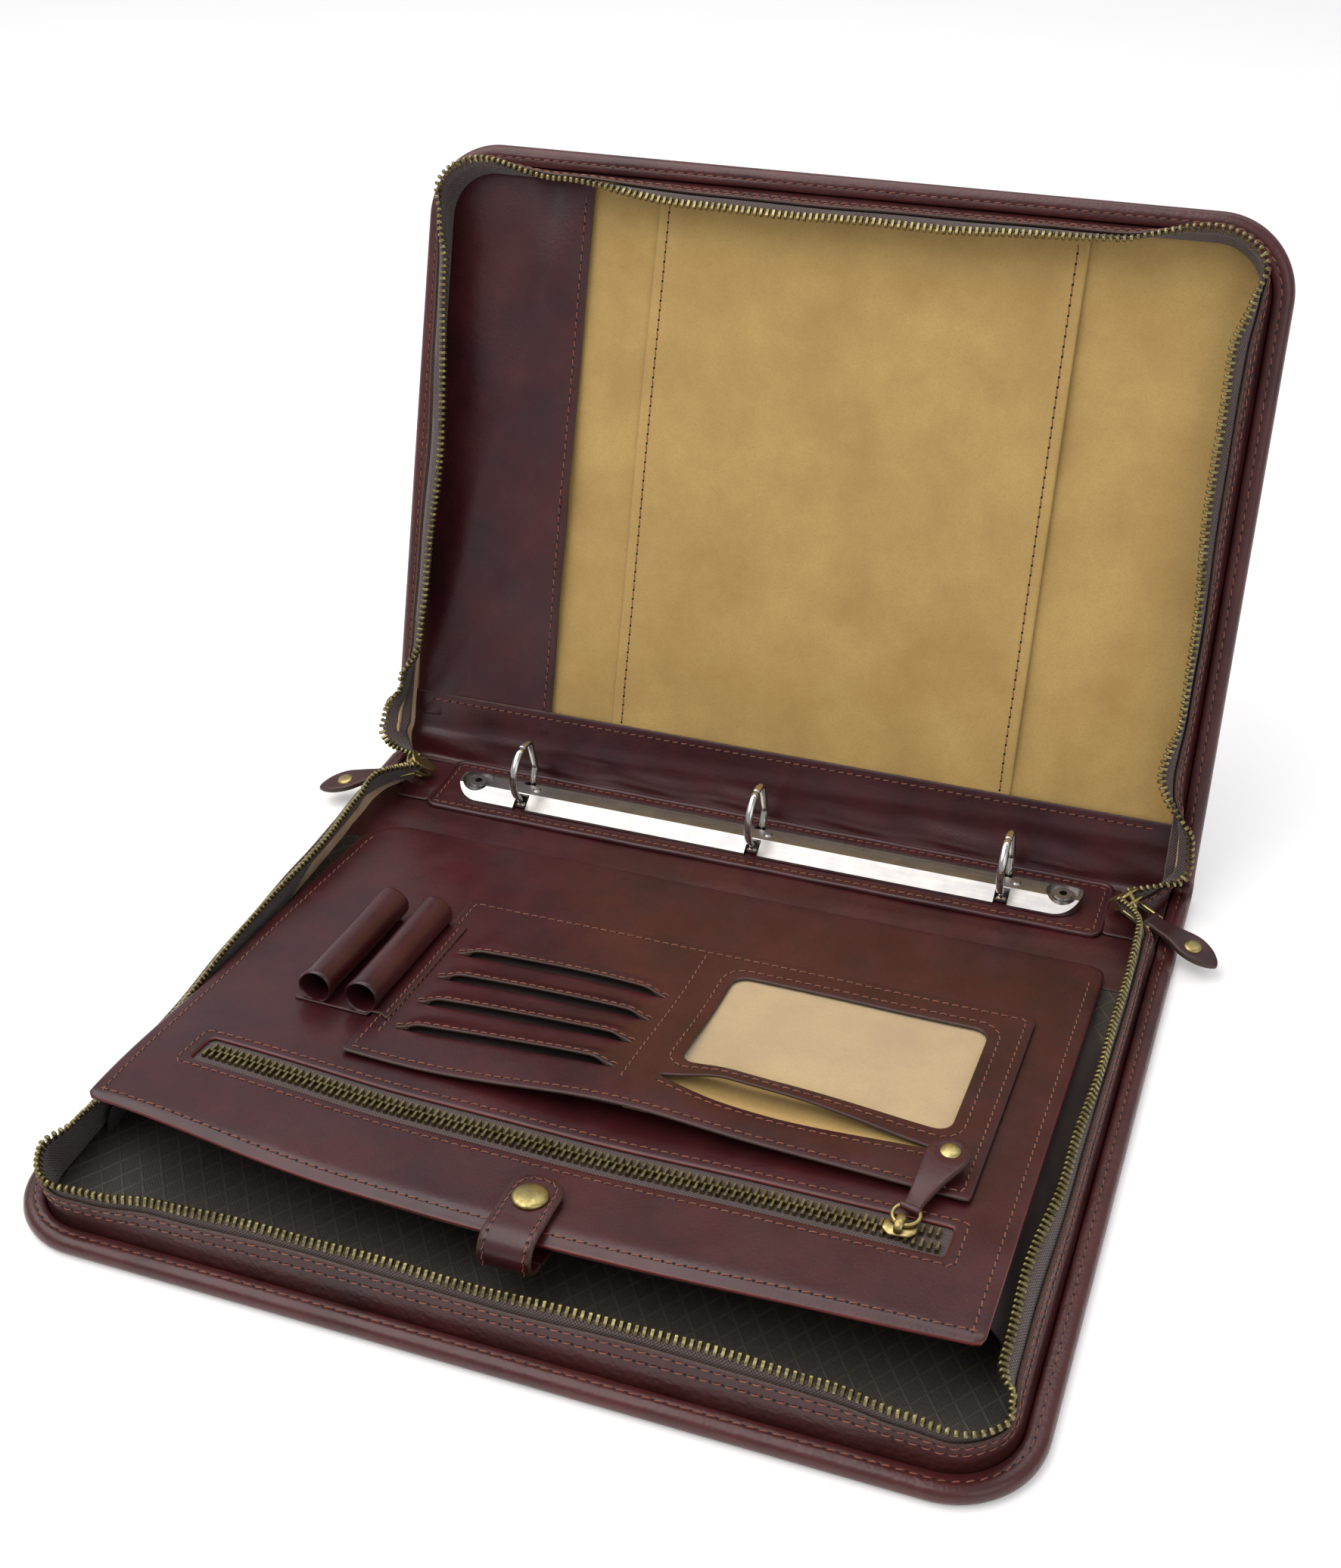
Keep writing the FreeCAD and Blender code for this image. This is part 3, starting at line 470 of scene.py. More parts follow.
def ring_faces(rings, sides):
    """Faces between rings of points, and a flat face at each end."""
    faces = []
    for i in range(rings - 1):
        for k in range(sides):
            m = (k + 1) % sides
            faces.append((i * sides + k, i * sides + m, (i + 1) * sides + m,
                          (i + 1) * sides + k))
    last = (rings - 1) * sides
    return faces + [tuple(range(sides)), tuple(range(last, last + sides))]


def lengths_along(points):
    """The distance along a path to each of its points."""
    lengths = [0.0]
    for a, b in zip(points, points[1:]):
        lengths.append(lengths[-1] + (b - a).length)
    return lengths


class Piece:
    """Gathers points in millimetres, faces and material slots, then makes one object."""

    def __init__(self, name, *materials):
        self.name = name
        self.materials = materials
        self.points = []
        self.faces = []
        self.slots = []
        self.uvs = []

    def add(self, points, faces, slot=0, uvs=None):
        start = len(self.points)
        self.points.extend(tuple(point) for point in points)
        self.uvs.extend(uvs or [(point[0], point[1]) for point in points])
        self.faces.extend([start + i for i in face] for face in faces)
        self.slots.extend([slot] * len(faces))

    def grid(self, rows, slot=0, closed=False):
        """A surface through rows of points, with true lengths as UVs."""
        rows = [[Vector(point) for point in row] for row in rows]
        count = len(rows[0])
        middle = count // 2
        points = []
        uvs = []
        far = 0.0
        for i, row in enumerate(rows):
            if i:
                far += (row[middle] - rows[i - 1][middle]).length
            across = 0.0
            for j, point in enumerate(row):
                if j:
                    across += (point - row[j - 1]).length
                points.append(point)
                uvs.append((far, across))
        faces = []
        for i in range(len(rows) - 1):
            for j in range(count if closed else count - 1):
                k = (j + 1) % count
                faces.append((i * count + j, i * count + k, (i + 1) * count + k,
                              (i + 1) * count + j))
        self.add(points, faces, slot, uvs)

    def caps(self, rows, slot=0):
        """Flat ends on the first and last row."""
        for row in (rows[0], rows[-1]):
            self.add(row, [list(range(len(row)))], slot)

    def ribbon(self, rows, thickness, slot=0, back_slot=None, edge_slot=None):
        """A strip of material with both faces and a rounded rim; thickness goes to the
        left of the first row's direction."""
        rows = [[Vector(point) for point in row] for row in rows]
        normals = grid_normals(rows)
        back = [[p - n * thickness for p, n in zip(row, line)]
                for row, line in zip(rows, normals)]
        self.grid(rows, slot)
        self.grid(back, slot if back_slot is None else back_slot)
        rim_slot = slot if edge_slot is None else edge_slot
        for lines, under in ((rows, back), (list(zip(*rows)), list(zip(*back)))):
            for end, before in ((0, 1), (-1, -2)):
                middle = [(a + b) / 2 + (a - c).normalized() * thickness * RIM_BULGE
                          for a, b, c in zip(lines[end], under[end], lines[before])]
                self.grid([lines[end], middle, under[end]], rim_slot)

    def tube(self, path, radius, slot=0, sides=12, closed=False):
        """A round wire along points."""
        rows = []
        count = len(path)
        up = Vector((0.13, 0.21, 0.97))
        for i, point in enumerate(path):
            before = path[i - 1] if i or closed else path[0]
            after = path[(i + 1) % count] if i < count - 1 or closed else path[-1]
            way = (after - before).normalized()
            side = way.cross(up).normalized()
            up = side.cross(way).normalized()
            r = radius(i / (count - 1)) if callable(radius) else radius
            rows.append([point + (side * math.cos(a) + up * math.sin(a)) * r
                         for a in angles(sides)])
        if closed:
            rows.append(rows[0])
        self.grid(rows, slot, closed=True)
        if not closed:
            self.caps(rows, slot)

    def stamp(self, points, faces, places, slot=0):
        """Copies a small shape to each (origin, along, normal)."""
        shape = np.array(points)
        for origin, way, normal in places:
            side = normal.cross(way).normalized()
            turn = np.array([way.normalized(), side, normal.normalized()])
            moved = shape @ turn + np.array(origin)
            self.add(moved.tolist(), faces, slot, [(p[0], p[1]) for p in points])

    def build(self, body=None, slot=None, sharp=48, weld=0.002):
        mesh = bpy.data.meshes.new(self.name)
        mesh.from_pydata([(x * MM, y * MM, z * MM) for x, y, z in self.points], [],
                         self.faces)
        for material in self.materials:
            mesh.materials.append(material)
        mesh.polygons.foreach_set("material_index", self.slots)
        layer = mesh.uv_layers.new(name="UVMap")
        corners = np.zeros(len(mesh.loops), dtype=np.int32)
        mesh.loops.foreach_get("vertex_index", corners)
        layer.data.foreach_set("uv", np.array(self.uvs, dtype=np.float32)[corners].ravel())
        work = bmesh.new()
        work.from_mesh(mesh)
        bmesh.ops.remove_doubles(work, verts=work.verts, dist=weld * MM)
        bmesh.ops.recalc_face_normals(work, faces=work.faces)
        work.to_mesh(mesh)
        work.free()
        mesh.shade_smooth()
        mesh.set_sharp_from_angle(angle=math.radians(sharp))
        made = bpy.data.objects.new(self.name, mesh)
        bpy.context.scene.collection.objects.link(made)
        if body:
            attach(made, body)
        return made


def grid_normals(rows):
    normals = []
    for i, row in enumerate(rows):
        line = []
        for j in range(len(row)):
            along = rows[min(i + 1, len(rows) - 1)][j] - rows[max(i - 1, 0)][j]
            across = row[min(j + 1, len(row) - 1)] - row[max(j - 1, 0)]
            line.append(along.cross(across).normalized())
        normals.append(line)
    return normals


def spline(points, steps):
    """A smooth curve through 3-D points."""
    points = [Vector(point) for point in points]
    ends = [points[0] * 2 - points[1]] + points + [points[-1] * 2 - points[-2]]
    curve = []
    for i in range(1, len(ends) - 2):
        a, b, c, d = ends[i - 1:i + 3]
        for k in range(steps):
            t = k / steps
            curve.append(0.5 * (2 * b + (c - a) * t + (2 * a - 5 * b + 4 * c - d) * t * t
                                + (3 * b - a - 3 * c + d) * t ** 3))
    curve.append(points[-1].copy())
    return curve


def spaced(points, step, closed=False):
    """Points of an outline or path, evenly respaced."""
    points = [Vector(point) for point in points]
    if closed:
        points.append(points[0].copy())
    lengths = lengths_along(points)
    count = max(2, round(lengths[-1] / step))
    result = []
    i = 0
    for k in range(count if closed else count + 1):
        want = lengths[-1] * k / count
        while i < len(lengths) - 2 and lengths[i + 1] < want:
            i += 1
        span = lengths[i + 1] - lengths[i]
        result.append(points[i].lerp(points[i + 1], (want - lengths[i]) / max(span, 1e-9)))
    return result


def rounded(corners):
    """An anticlockwise outline from (x, y, radius) corners."""
    outline = []
    count = len(corners)
    for i, (x, y, radius) in enumerate(corners):
        here = Vector((x, y))
        to_before = (Vector(corners[i - 1][:2]) - here).normalized()
        to_after = (Vector(corners[(i + 1) % count][:2]) - here).normalized()
        if radius <= 0:
            outline.append(here)
            continue
        half = math.acos(max(-1, min(1, to_before.dot(to_after)))) / 2
        reach = radius / math.tan(half)
        centre = here + (to_before + to_after).normalized() * radius / math.sin(half)
        start = here + to_before * reach - centre
        turn = math.pi - 2 * half
        if to_before.x * to_after.y - to_before.y * to_after.x > 0:
            turn = -turn
        steps = max(3, round(radius * abs(turn) / 1.2))
        for k in range(steps + 1):
            a = turn * k / steps
            outline.append(centre + Vector((start.x * math.cos(a) - start.y * math.sin(a),
                                            start.x * math.sin(a) + start.y * math.cos(a))))
    return outline


def inset_loop(loop, distance):
    """A loop moved to its left, which is inward for an anticlockwise outline."""
    moved = []
    for i, point in enumerate(loop):
        before = (point - loop[i - 1]).normalized()
        after = (loop[(i + 1) % len(loop)] - point).normalized()
        way = (before + after).normalized()
        moved.append(point + Vector((-way.y, way.x)) * distance / max(way.dot(after), 0.5))
    return moved


def inside(loop, xs, ys):
    """Which of the points lie within a loop."""
    result = np.zeros(len(xs), dtype=bool)
    for i in range(len(loop)):
        x0, y0 = loop[i - 1]
        x1, y1 = loop[i]
        crosses = (y0 > ys) != (y1 > ys)
        if y0 != y1:
            result ^= crosses & (xs < (x1 - x0) * (ys - y0) / (y1 - y0) + x0)
    return result


EDGE_ROUND = ((0.0, 0.0), (0.12, 0.5), (0.42, 0.86), (1.0, 1.0))


def filled(outline, holes, roll, step, bands=()):
    """Triangles over an outline with holes: points, faces, and each point's share of the
    full thickness. bands are (y0, y1, step) strips that need closer points."""
    loops = [spaced(outline, step * 0.7, True)] + [spaced(h, step * 0.5, True) for h in holes]
    points = []
    shares = []
    edges = []
    for loop in loops:
        for depth, share in EDGE_ROUND:
            start = len(points)
            ring = inset_loop(loop, depth * roll)
            points.extend(ring)
            shares.extend([share] * len(ring))
            edges.extend((start + i, start + (i + 1) % len(ring)) for i in range(len(ring)))
    rim = np.array([tuple(p) for loop in loops for p in loop])
    xs, ys = [], []
    y = rim[:, 1].min()
    odd = False
    while y < rim[:, 1].max():
        gap = min([step] + [fine for low, high, fine in bands if low <= y <= high])
        row = np.arange(rim[:, 0].min() + (step / 2 if odd else 0), rim[:, 0].max(), step)
        xs.append(row)
        ys.append(np.full(len(row), y))
        y += gap * 0.87
        odd = not odd
    xs = np.concatenate(xs)
    ys = np.concatenate(ys)
    keep = inside(loops[0], xs, ys)
    for hole in loops[1:]:
        keep &= ~inside(hole, xs, ys)
    xs, ys = xs[keep], ys[keep]
    near = ((xs[:, None] - rim[None, :, 0]) ** 2 + (ys[:, None] - rim[None, :, 1]) ** 2)
    keep = near.min(axis=1) > (roll + step * 0.3) ** 2
    inner = [Vector(p) for p in zip(xs[keep].tolist(), ys[keep].tolist())]
    points.extend(inner)
    shares.extend([1.0] * len(inner))
    verts, _, faces, origin, _, _ = delaunay(points, edges, [], 0, 1e-5)
    share = [shares[found[0]] if found else 1.0 for found in origin]
    flat = np.array([tuple(v) for v in verts])
    middle = flat[np.array(faces)].mean(axis=1)
    keep = inside(loops[0], middle[:, 0], middle[:, 1])
    for hole in loops[1:]:
        keep &= ~inside(hole, middle[:, 0], middle[:, 1])
    return verts, [face for face, kept in zip(faces, keep) if kept], share


def plate(piece, outline, place, lift, thick, holes=(), roll=None, step=4.0, bands=(),
          slot=0, under_slot=None, edge_slot=None):
    """A sheet of leather or cloth: both faces and a rounded rim. lift(x, y) is the height
    of its underside, and place turns (x, y, height) into the frame."""
    roll = thick if roll is None else roll
    points, faces, shares = filled(outline, holes, roll, step, bands)
    heights = [lift(p.x, p.y) for p in points]
    top = [place(p.x, p.y, h + thick * (0.5 + 0.5 * s))
           for p, h, s in zip(points, heights, shares)]
    under = [place(p.x, p.y, h + thick * (0.5 - 0.5 * s))
             for p, h, s in zip(points, heights, shares)]
    uvs = [(p.x, p.y) for p in points]
    under_slot = slot if under_slot is None else under_slot
    edge_slot = slot if edge_slot is None else edge_slot
    rim = [max(shares[i] for i in face) < 0.95 for face in faces]
    body = [face for face, on_rim in zip(faces, rim) if not on_rim]
    edge = [face for face, on_rim in zip(faces, rim) if on_rim]
    piece.add(top, body, slot, uvs)
    piece.add(top, edge, edge_slot, uvs)
    piece.add(under, body, under_slot, uvs)
    piece.add(under, edge, edge_slot, uvs)


# ---------------------------------------------------------------- stitches

STITCH_L = 3.0
THREAD_R = 0.24
STITCH_SIDES = 6
# Stitch pitches of the seams
RIM_PITCH = 4.3
WALL_PITCH = 4.2
LID_PITCH = 4.0
PAD_PITCH = 3.9
PANEL_PITCH = 3.8
PEN_PITCH = 3.6
STRAP_PITCH = 3.4


def stitch_shape():
    """One stitch lying along X: a plump thread that dives into the leather at both ends."""
    points = []
    rings = (-1.0, -0.86, -0.5, 0.0, 0.5, 0.86, 1.0)
    for along in rings:
        radius = THREAD_R * (1.0 - 0.45 * abs(along) ** 5)
        height = 0.17 - 0.5 * abs(along) ** 5
        points.extend((along * STITCH_L / 2, radius * math.cos(a), height + radius * math.sin(a))
                      for a in angles(STITCH_SIDES))
    return points, ring_faces(len(rings), STITCH_SIDES)


def hole_shape():
    """The mouth of a needle hole as a low closed dome, dark with painted shade."""
    count = 8
    points = [(0.0, 0.0, 0.10), (0.0, 0.0, -0.3)]
    for ring, height in ((0.34, 0.08), (0.62, -0.06)):
        points.extend((1.25 * ring * math.cos(a), ring * math.sin(a), height)
                      for a in angles(count))
    faces = []
    for k in range(count):
        m = (k + 1) % count
        faces.append((0, 2 + k, 2 + m))
        faces.append((2 + k, 2 + count + k, 2 + count + m, 2 + m))
        faces.append((1, 2 + count + m, 2 + count + k))
    return points, faces


STITCH = stitch_shape()
NEEDLE_HOLE = hole_shape()
SLANT = 8.0                # stitches lie this far off their row, degrees


def sew(piece, run, pitch):
    """Stitches and needle holes along a run of (point, normal)."""
    points = [Vector(point) for point, normal in run]
    normals = [Vector(normal) for point, normal in run]
    lengths = lengths_along(points)
    count = max(1, round(lengths[-1] / pitch))
    step = lengths[-1] / count

    def at(want):
        want = min(max(want, 0.0), lengths[-1])
        i = max(0, int(np.searchsorted(lengths, want)) - 1)
        i = min(i, len(points) - 2)
        t = (want - lengths[i]) / max(lengths[i + 1] - lengths[i], 1e-9)
        return (points[i].lerp(points[i + 1], t), (points[i + 1] - points[i]).normalized(),
                normals[i].lerp(normals[i + 1], t).normalized())

    stitches = []
    holes = []
    for k in range(count):
        origin, way, normal = at((k + 0.5) * step)
        way = Matrix.Rotation(math.radians(SLANT + random.uniform(-2, 2)), 3, normal) @ way
        stitches.append((origin + normal * random.uniform(-0.05, 0.05), way, normal))
        origin, way, normal = at(k * step)
        holes.append((origin, way, normal))
    piece.stamp(STITCH[0], STITCH[1], stitches, 0)
    # The needle holes take the painted-shade material.
    piece.stamp(NEEDLE_HOLE[0], NEEDLE_HOLE[1], holes, 1)


def run_on(points_2d, place, height):
    """A stitch run over a surface: 2-D points lifted by height(x, y), with normals."""
    run = []
    for p in points_2d:
        here = place(p.x, p.y, height(p.x, p.y))
        east = place(p.x + 0.5, p.y, height(p.x + 0.5, p.y)) - here
        north = place(p.x, p.y + 0.5, height(p.x, p.y + 0.5)) - here
        run.append((here, east.cross(north).normalized()))
    return run


def thread_piece(name):
    return Piece(name, THREAD, HOLE_SHADE)


# ---------------------------------------------------------------- shape of a leaf

SIDE_L = DEPTH - CORNER_R                 # straight side, measured from the fold
ARC_L = CORNER_R * math.pi / 2
FRONT_L = WIDTH - 2 * CORNER_R
RIM_L = 2 * SIDE_L + 2 * ARC_L + FRONT_L  # from fold to fold round the leaf
HALF_SPINE = SPINE / 2


def rim(s, inset):
    """(x, v) on the leaf's outline, s along it from the fold and inset inwards."""
    half = WIDTH / 2
    if s <= SIDE_L:
        return half - inset, s
    if s >= RIM_L - SIDE_L:
        return inset - half, RIM_L - s
    centre = half - CORNER_R
    if s < SIDE_L + ARC_L or s > RIM_L - SIDE_L - ARC_L:
        first = s < SIDE_L + ARC_L
        turn = (s - SIDE_L) / CORNER_R
        if not first:
            turn = math.pi - (RIM_L - SIDE_L - s) / CORNER_R
        x = (centre if first else -centre) + (CORNER_R - inset) * math.cos(turn)
        return x, SIDE_L + (CORNER_R - inset) * math.sin(turn)
    return centre - (s - SIDE_L - ARC_L), DEPTH - inset


def stations(start, end, step=3.0):
    """Places along the outline, closer at the corners and round the folds."""
    places = [start]
    while places[-1] < end - 0.5:
        s = places[-1]
        near_fold = s < BEND_REACH + 4 or s > RIM_L - BEND_REACH - 4
        on_corner = min(abs(s - SIDE_L - ARC_L / 2),
                        abs(s - RIM_L + SIDE_L + ARC_L / 2)) < ARC_L / 2 + 2
        places.append(min(end, s + (1.6 if near_fold else 2.0 if on_corner else step)))
    return places


def fold_distance(s):
    return min(s, RIM_L - s)


edge_height = eased([(-HALF_SPINE, SPINE_EDGE_H), (-8, SPINE_EDGE_H), (0, FOLD_EDGE_H),
                     (11, EDGE_H - 0.5), (22, EDGE_H)])


def ripple(s, seed, size=1.0):
    """A slow, uneven wander along the outline."""
    return size * (0.5 * math.sin(s / 21.0 + seed) + 0.3 * math.sin(s / 9.3 + 2.1 * seed)
                   + 0.2 * math.sin(s / 47.0 + 3.7 * seed))


# The turned edge from the skin, round the outside, to the groove at the wall's foot
SKIN_IN = 14.0
SKIN_T = 1.3
UNDER_STITCH_IN = 4.81     # the same seam seen from outside, in a shallow groove


def edge_profile(s, seed):
    top = edge_height(fold_distance(s))
    puff = ripple(s, seed, 0.22)
    return [(SKIN_IN, 0.0), (6.2, 0.0), (5.4, 0.06), (UNDER_STITCH_IN, 0.34), (4.2, 0.08),
            (3.2, 0.03), (1.3, 0.45), (0.35, 1.4),
            (0.1 * puff, top * 0.45), (0.3, top * 0.68), (1.1, top * 0.87),
            (2.3, top * 0.97 + puff * 0.5), (3.6, top + puff * 0.6), (4.3, top + 0.02),
            (FLANGE_STITCH_IN, top - 0.14), (5.3, top + 0.02), (6.2, top + puff * 0.6),
            (7.2, top - 0.1 + puff * 0.4), (7.9, top - 0.45), (8.2, top - 1.4),
            (8.4, max(top - 3.0, SKIN_T + 0.6)), (9.4, SKIN_T + 0.3), (SKIN_IN, SKIN_T)]


def leaf_skin(name, place, seed):
    """The hide of a leaf and its half of the spine, turned over the padded edge."""
    piece = Piece(name, HIDE, EDGE)
    places = stations(-HALF_SPINE, RIM_L + HALF_SPINE)
    rows = [[place(*rim(s, inset), z) for inset, z in edge_profile(s, seed)] for s in places]
    piece.grid(rows)
    ring = [Vector(rim(s, SKIN_IN)) for s in places]
    outline = []
    for p, q in zip(ring, ring[1:] + ring[:1]):
        outline.append(p)
        if (q - p).length > 20:
            outline.extend(p.lerp(q, k / 48) for k in range(1, 48))
    xs = np.arange(-WIDTH / 2 + SKIN_IN + 8, WIDTH / 2 - SKIN_IN - 6, 12.0)
    inner = []
    v = -HALF_SPINE + 2
    while v < DEPTH - SKIN_IN - 4:
        inner.extend(Vector((x, v)) for x in xs.tolist())
        v += 2.0 if v < BEND_REACH + 2 else 11.0
    corner = WIDTH / 2 - CORNER_R
    reach = CORNER_R - SKIN_IN - 4
    inner = [p for p in inner if p.y < SIDE_L or abs(p.x) < corner
             or math.hypot(abs(p.x) - corner, p.y - SIDE_L) < reach]
    count = len(outline)
    verts, _, faces, _, _, _ = delaunay(outline + inner, [(i, (i + 1) % count)
                                                          for i in range(count)], [], 1, 1e-5)
    uvs = [(p.x, p.y) for p in verts]
    for z in (0.0, SKIN_T):
        piece.add([place(p.x, p.y, z) for p in verts], faces, 0, uvs)
    piece.caps(rows)
    return piece


FOLD_REACH = 7.0           # the hide turns over this far each side of a fold


def fold_blend(made, leaf):
    """Bakes the piece's place into its mesh, the same for either leaf."""
    if leaf == "base":
        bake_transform(made)
        return
    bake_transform(made)


def build_over_fold(piece, slot, leaf, *nodes):
    """Builds a piece for a leaf, fixed in place at rest, and takes the place of nodes."""
    made = piece.build(slot=slot)
    fold_blend(made, leaf)
    if nodes:
        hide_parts(*nodes)


def flange_stitches(place, seed, inset, outward):
    run = []
    start = -HALF_SPINE + 10
    for s in stations(start, RIM_L - start, 2.0):
        height = dict(edge_profile(s, seed))[inset]
        here = place(*rim(s, inset), height)
        run.append((here, place(*rim(s, inset), height + outward) - here))
    return run


for leaf, place, seed in (("base", base_at, 1.0), ("lid", lid_at, 2.6)):
    covers = ("base_cover", "spine_cover") if leaf == "base" else ("lid_cover",)
    build_over_fold(leaf_skin(leaf + "_hide", place, seed), "hide", leaf, *covers)
    threads = thread_piece(leaf + "_flange_stitches")
    sew(threads, flange_stitches(place, seed, FLANGE_STITCH_IN, 1.0), RIM_PITCH)
    sew(threads, flange_stitches(place, seed, UNDER_STITCH_IN, -1.0), RIM_PITCH)
    build_over_fold(threads, "hide", leaf)

# ---------------------------------------------------------------- zip walls, tape, teeth

# How far in from the outer edge the zip runs, along the outline from the fold
base_zip_in = eased([(0, 14.5), (20, 15.5), (60, 17.5), (130, 15.0), (170, 16.0), (210, 19.0),
                     (235, 14.5), (255, 10.0), (280, 8.5), (302, 10.0), (325, 14.5),
                     (370, 16.0), (444, 15.2), (500, 16.6), (560, 15.0), (585, 11.5),
                     (607, 9.5), (625, 9.5), (640, 13.0), (655, 18.5), (690, 19.5),
                     (745, 16.5), (810, 14.0), (870, 14.5), (RIM_L, 14.5)])
lid_zip_in = eased([(0, 3.0), (20, 3.6), (29, 4.4), (57, 18.4), (80, 14.4), (105, 14.5),
                    (160, 18.0), (225, 18.0), (243, 14.0),
                    (268, 7.5), (293, 7.5), (330, 14.0), (400, 17.5), (500, 17.0),
                    (560, 12.5), (595, 7.5), (620, 8.0), (645, 14.0), (665, 18.0),
                    (740, 21.0), (800, 19.0), (829, 17.6), (849, 10.5), (868, 0.5), (RIM_L, 0.0)])


def zip_section(leaf, s):
    """Points (inset, z) up the wall and over the tape at a station."""
    seed = 0.7 if leaf == "base" else 4.1
    teeth_in = (base_zip_in if leaf == "base" else lid_zip_in)(s) + ripple(s, seed, 0.7)
    upright = smooth((15.0 - teeth_in) / 7.0)      # how far the corners push it upright
    lean = smooth((8.0 - teeth_in) / 7.0)          # near the folds it flops outwards
    top_in = WALL_TOP_IN - 2.6 * upright + 0.25 * (max(teeth_in, 9.0) - ZIP_MEAN_IN)
    top_in += ripple(s, seed + 1, 0.4) - 2.5 * lean
    top_z = WALL_TOP_Z + ripple(s, seed + 2, 0.9) - 3.5 * lean
    foot = [(8.5, 3.4), (8.5, 5.5)]
    wall = foot + [(8.7 + 0.1 * top_in, 9.0), (5.3 + 0.38 * top_in, 12.5),
                   (2.6 + 0.74 * top_in, 16.0), (top_in, top_z)]
    teeth_z = TEETH_Z + 0.4 * upright + ripple(s, seed + 3, 0.35) - 5.5 * lean
    behind = top_in + WALL_T + 0.3
    low = 14.4 - 8.4 * smooth((fold_distance(s) - 45) / 50)
    tape = [(10.6 + 0.1 * top_in, low), (10.6 + 0.1 * top_in, (low + 15.0) / 2),
            (behind + 0.1, 15.0), (behind, top_z - 1.6),
            (behind + 0.1 + 0.1 * (teeth_in - behind), top_z + 0.8),
            (behind + 0.45 * (teeth_in - behind), teeth_z - 0.7),
            (teeth_in - 0.5, teeth_z)]
    return wall, tape


LOOP_START = 19.0          # the loop at each end of the zip starts this far from the fold


def loop_curve(leaf, side, line, start, ahead):
    """A line of the zip from the end of a leaf's wall, round the fold, to the slider."""
    if leaf == "base":
        controls = {
            "teeth": [(side * 168.5, 129, 22.6), (side * 167.0, 139, 21.2),
                      (side * 161.5, 149, 18.6), (side * 155.5, 155.5, 16.4)],
            "tape": [(side * 171.3, 130, 16.2), (side * 171.0, 140, 14.4),
                     (side * 167.5, 149, 12.2), (side * 161.5, 154.5, 10.4)],
            "foot": [(side * 174.4, 130, 4.4), (side * 174.6, 140, 4.8),
                     (side * 173.0, 149, 5.2), (side * 168.5, 156.5, 5.4)],
        }[line]
    else:
        bulge = 4.0 if side < 0 else 0.0
        controls = {
            "teeth": [(side * (178.6 + bulge), 171.0, 20.5 - 0.2 * bulge),
                      (side * (173.0 + 0.9 * bulge), 167.0, 19.6 - 0.7 * bulge),
                      (side * (165.0 + 0.5 * bulge), 163.3, 18.0 - 0.4 * bulge),
                      (side * 157.0, 160.0, 16.8)],
            "tape": [(side * 177.0, 175.3, 18.5), (side * 172.5, 171.3, 13.8),
                     (side * 167.0, 166.5, 11.8), (side * 161.5, 162.5, 10.4)],
            "foot": [(side * 174.8, 184.0, 12.5), (side * 174.6, 179.5, 7.5),
                     (side * 172.5, 171.5, 5.6), (side * 168.5, 164.0, 5.4)],
        }[line]
    return spline([ahead, start] + controls, 7)[7:]


def zip_lines(leaf, place):
    """Rows of wall and tape points all round a leaf, with the loops at both ends."""
    wall_rows = []
    tape_rows = []
    sides = (-1, 1) if leaf == "base" else (1, -1)
    places = stations(LOOP_START, RIM_L - LOOP_START, 2.6)
    for s in places:
        wall, tape = zip_section(leaf, s)
        wall_rows.append([place(*rim(s, inset), z) for inset, z in wall])
        tape_rows.append([place(*rim(s, inset), z) for inset, z in tape])

    def loop(side, end, inner):
        """Rows from the wall's end to the slider, worked out between three lines."""
        foot = loop_curve(leaf, side, "foot", wall_rows[end][0], wall_rows[inner][0])
        top = loop_curve(leaf, side, "tape", wall_rows[end][-1], wall_rows[inner][-1])
        teeth = loop_curve(leaf, side, "teeth", tape_rows[end][-1], tape_rows[inner][-1])
        walls = []
        tapes = []
        count = len(foot)
        span = (wall_rows[end][-1] - wall_rows[end][0]).length
        for k in range(count):
            t = k / (count - 1)
            wall = []
            for start in wall_rows[end]:
                share = (start - wall_rows[end][0]).length / span
                bow = Vector((side, 0, 0)) * math.sin(math.pi * share) * 1.2 * (1 - t * 0.3)
                wall.append(foot[k].lerp(top[k], share) + bow * smooth(t * 3))
            straight = [wall_rows[end][i] + (foot[k] - foot[0]) for i in range(len(wall))]
            ease = smooth(t * 1.8)
            walls.append([a.lerp(b, ease) for a, b in zip(straight, wall)])
            tape = []
            for i, start in enumerate(tape_rows[end]):
                share = i / (len(tape_rows[end]) - 1)
                low = top[k] + (foot[k] - top[k]).normalized() * 2.4
                low += Vector((-side, 0, 0)) * 1.9
                mid = top[k] + Vector((-side * 1.8, 0, 1.0))
                if share < 0.5:
                    tape.append(low.lerp(mid, share * 2))
                else:
                    tape.append(mid.lerp(teeth[k], share * 2 - 1))
            straight = [p + (teeth[k] - teeth[0]) for p in tape_rows[end]]
            tapes.append([a.lerp(b, ease) for a, b in zip(straight, tape)])
        return walls, tapes

    head_wall, head_tape = loop(sides[0], 0, 1)
    tail_wall, tail_tape = loop(sides[1], -1, -2)
    wall_rows = head_wall[:0:-1] + wall_rows + tail_wall[1:]
    tape_rows = head_tape[:0:-1] + tape_rows + tail_tape[1:]
    return wall_rows, tape_rows


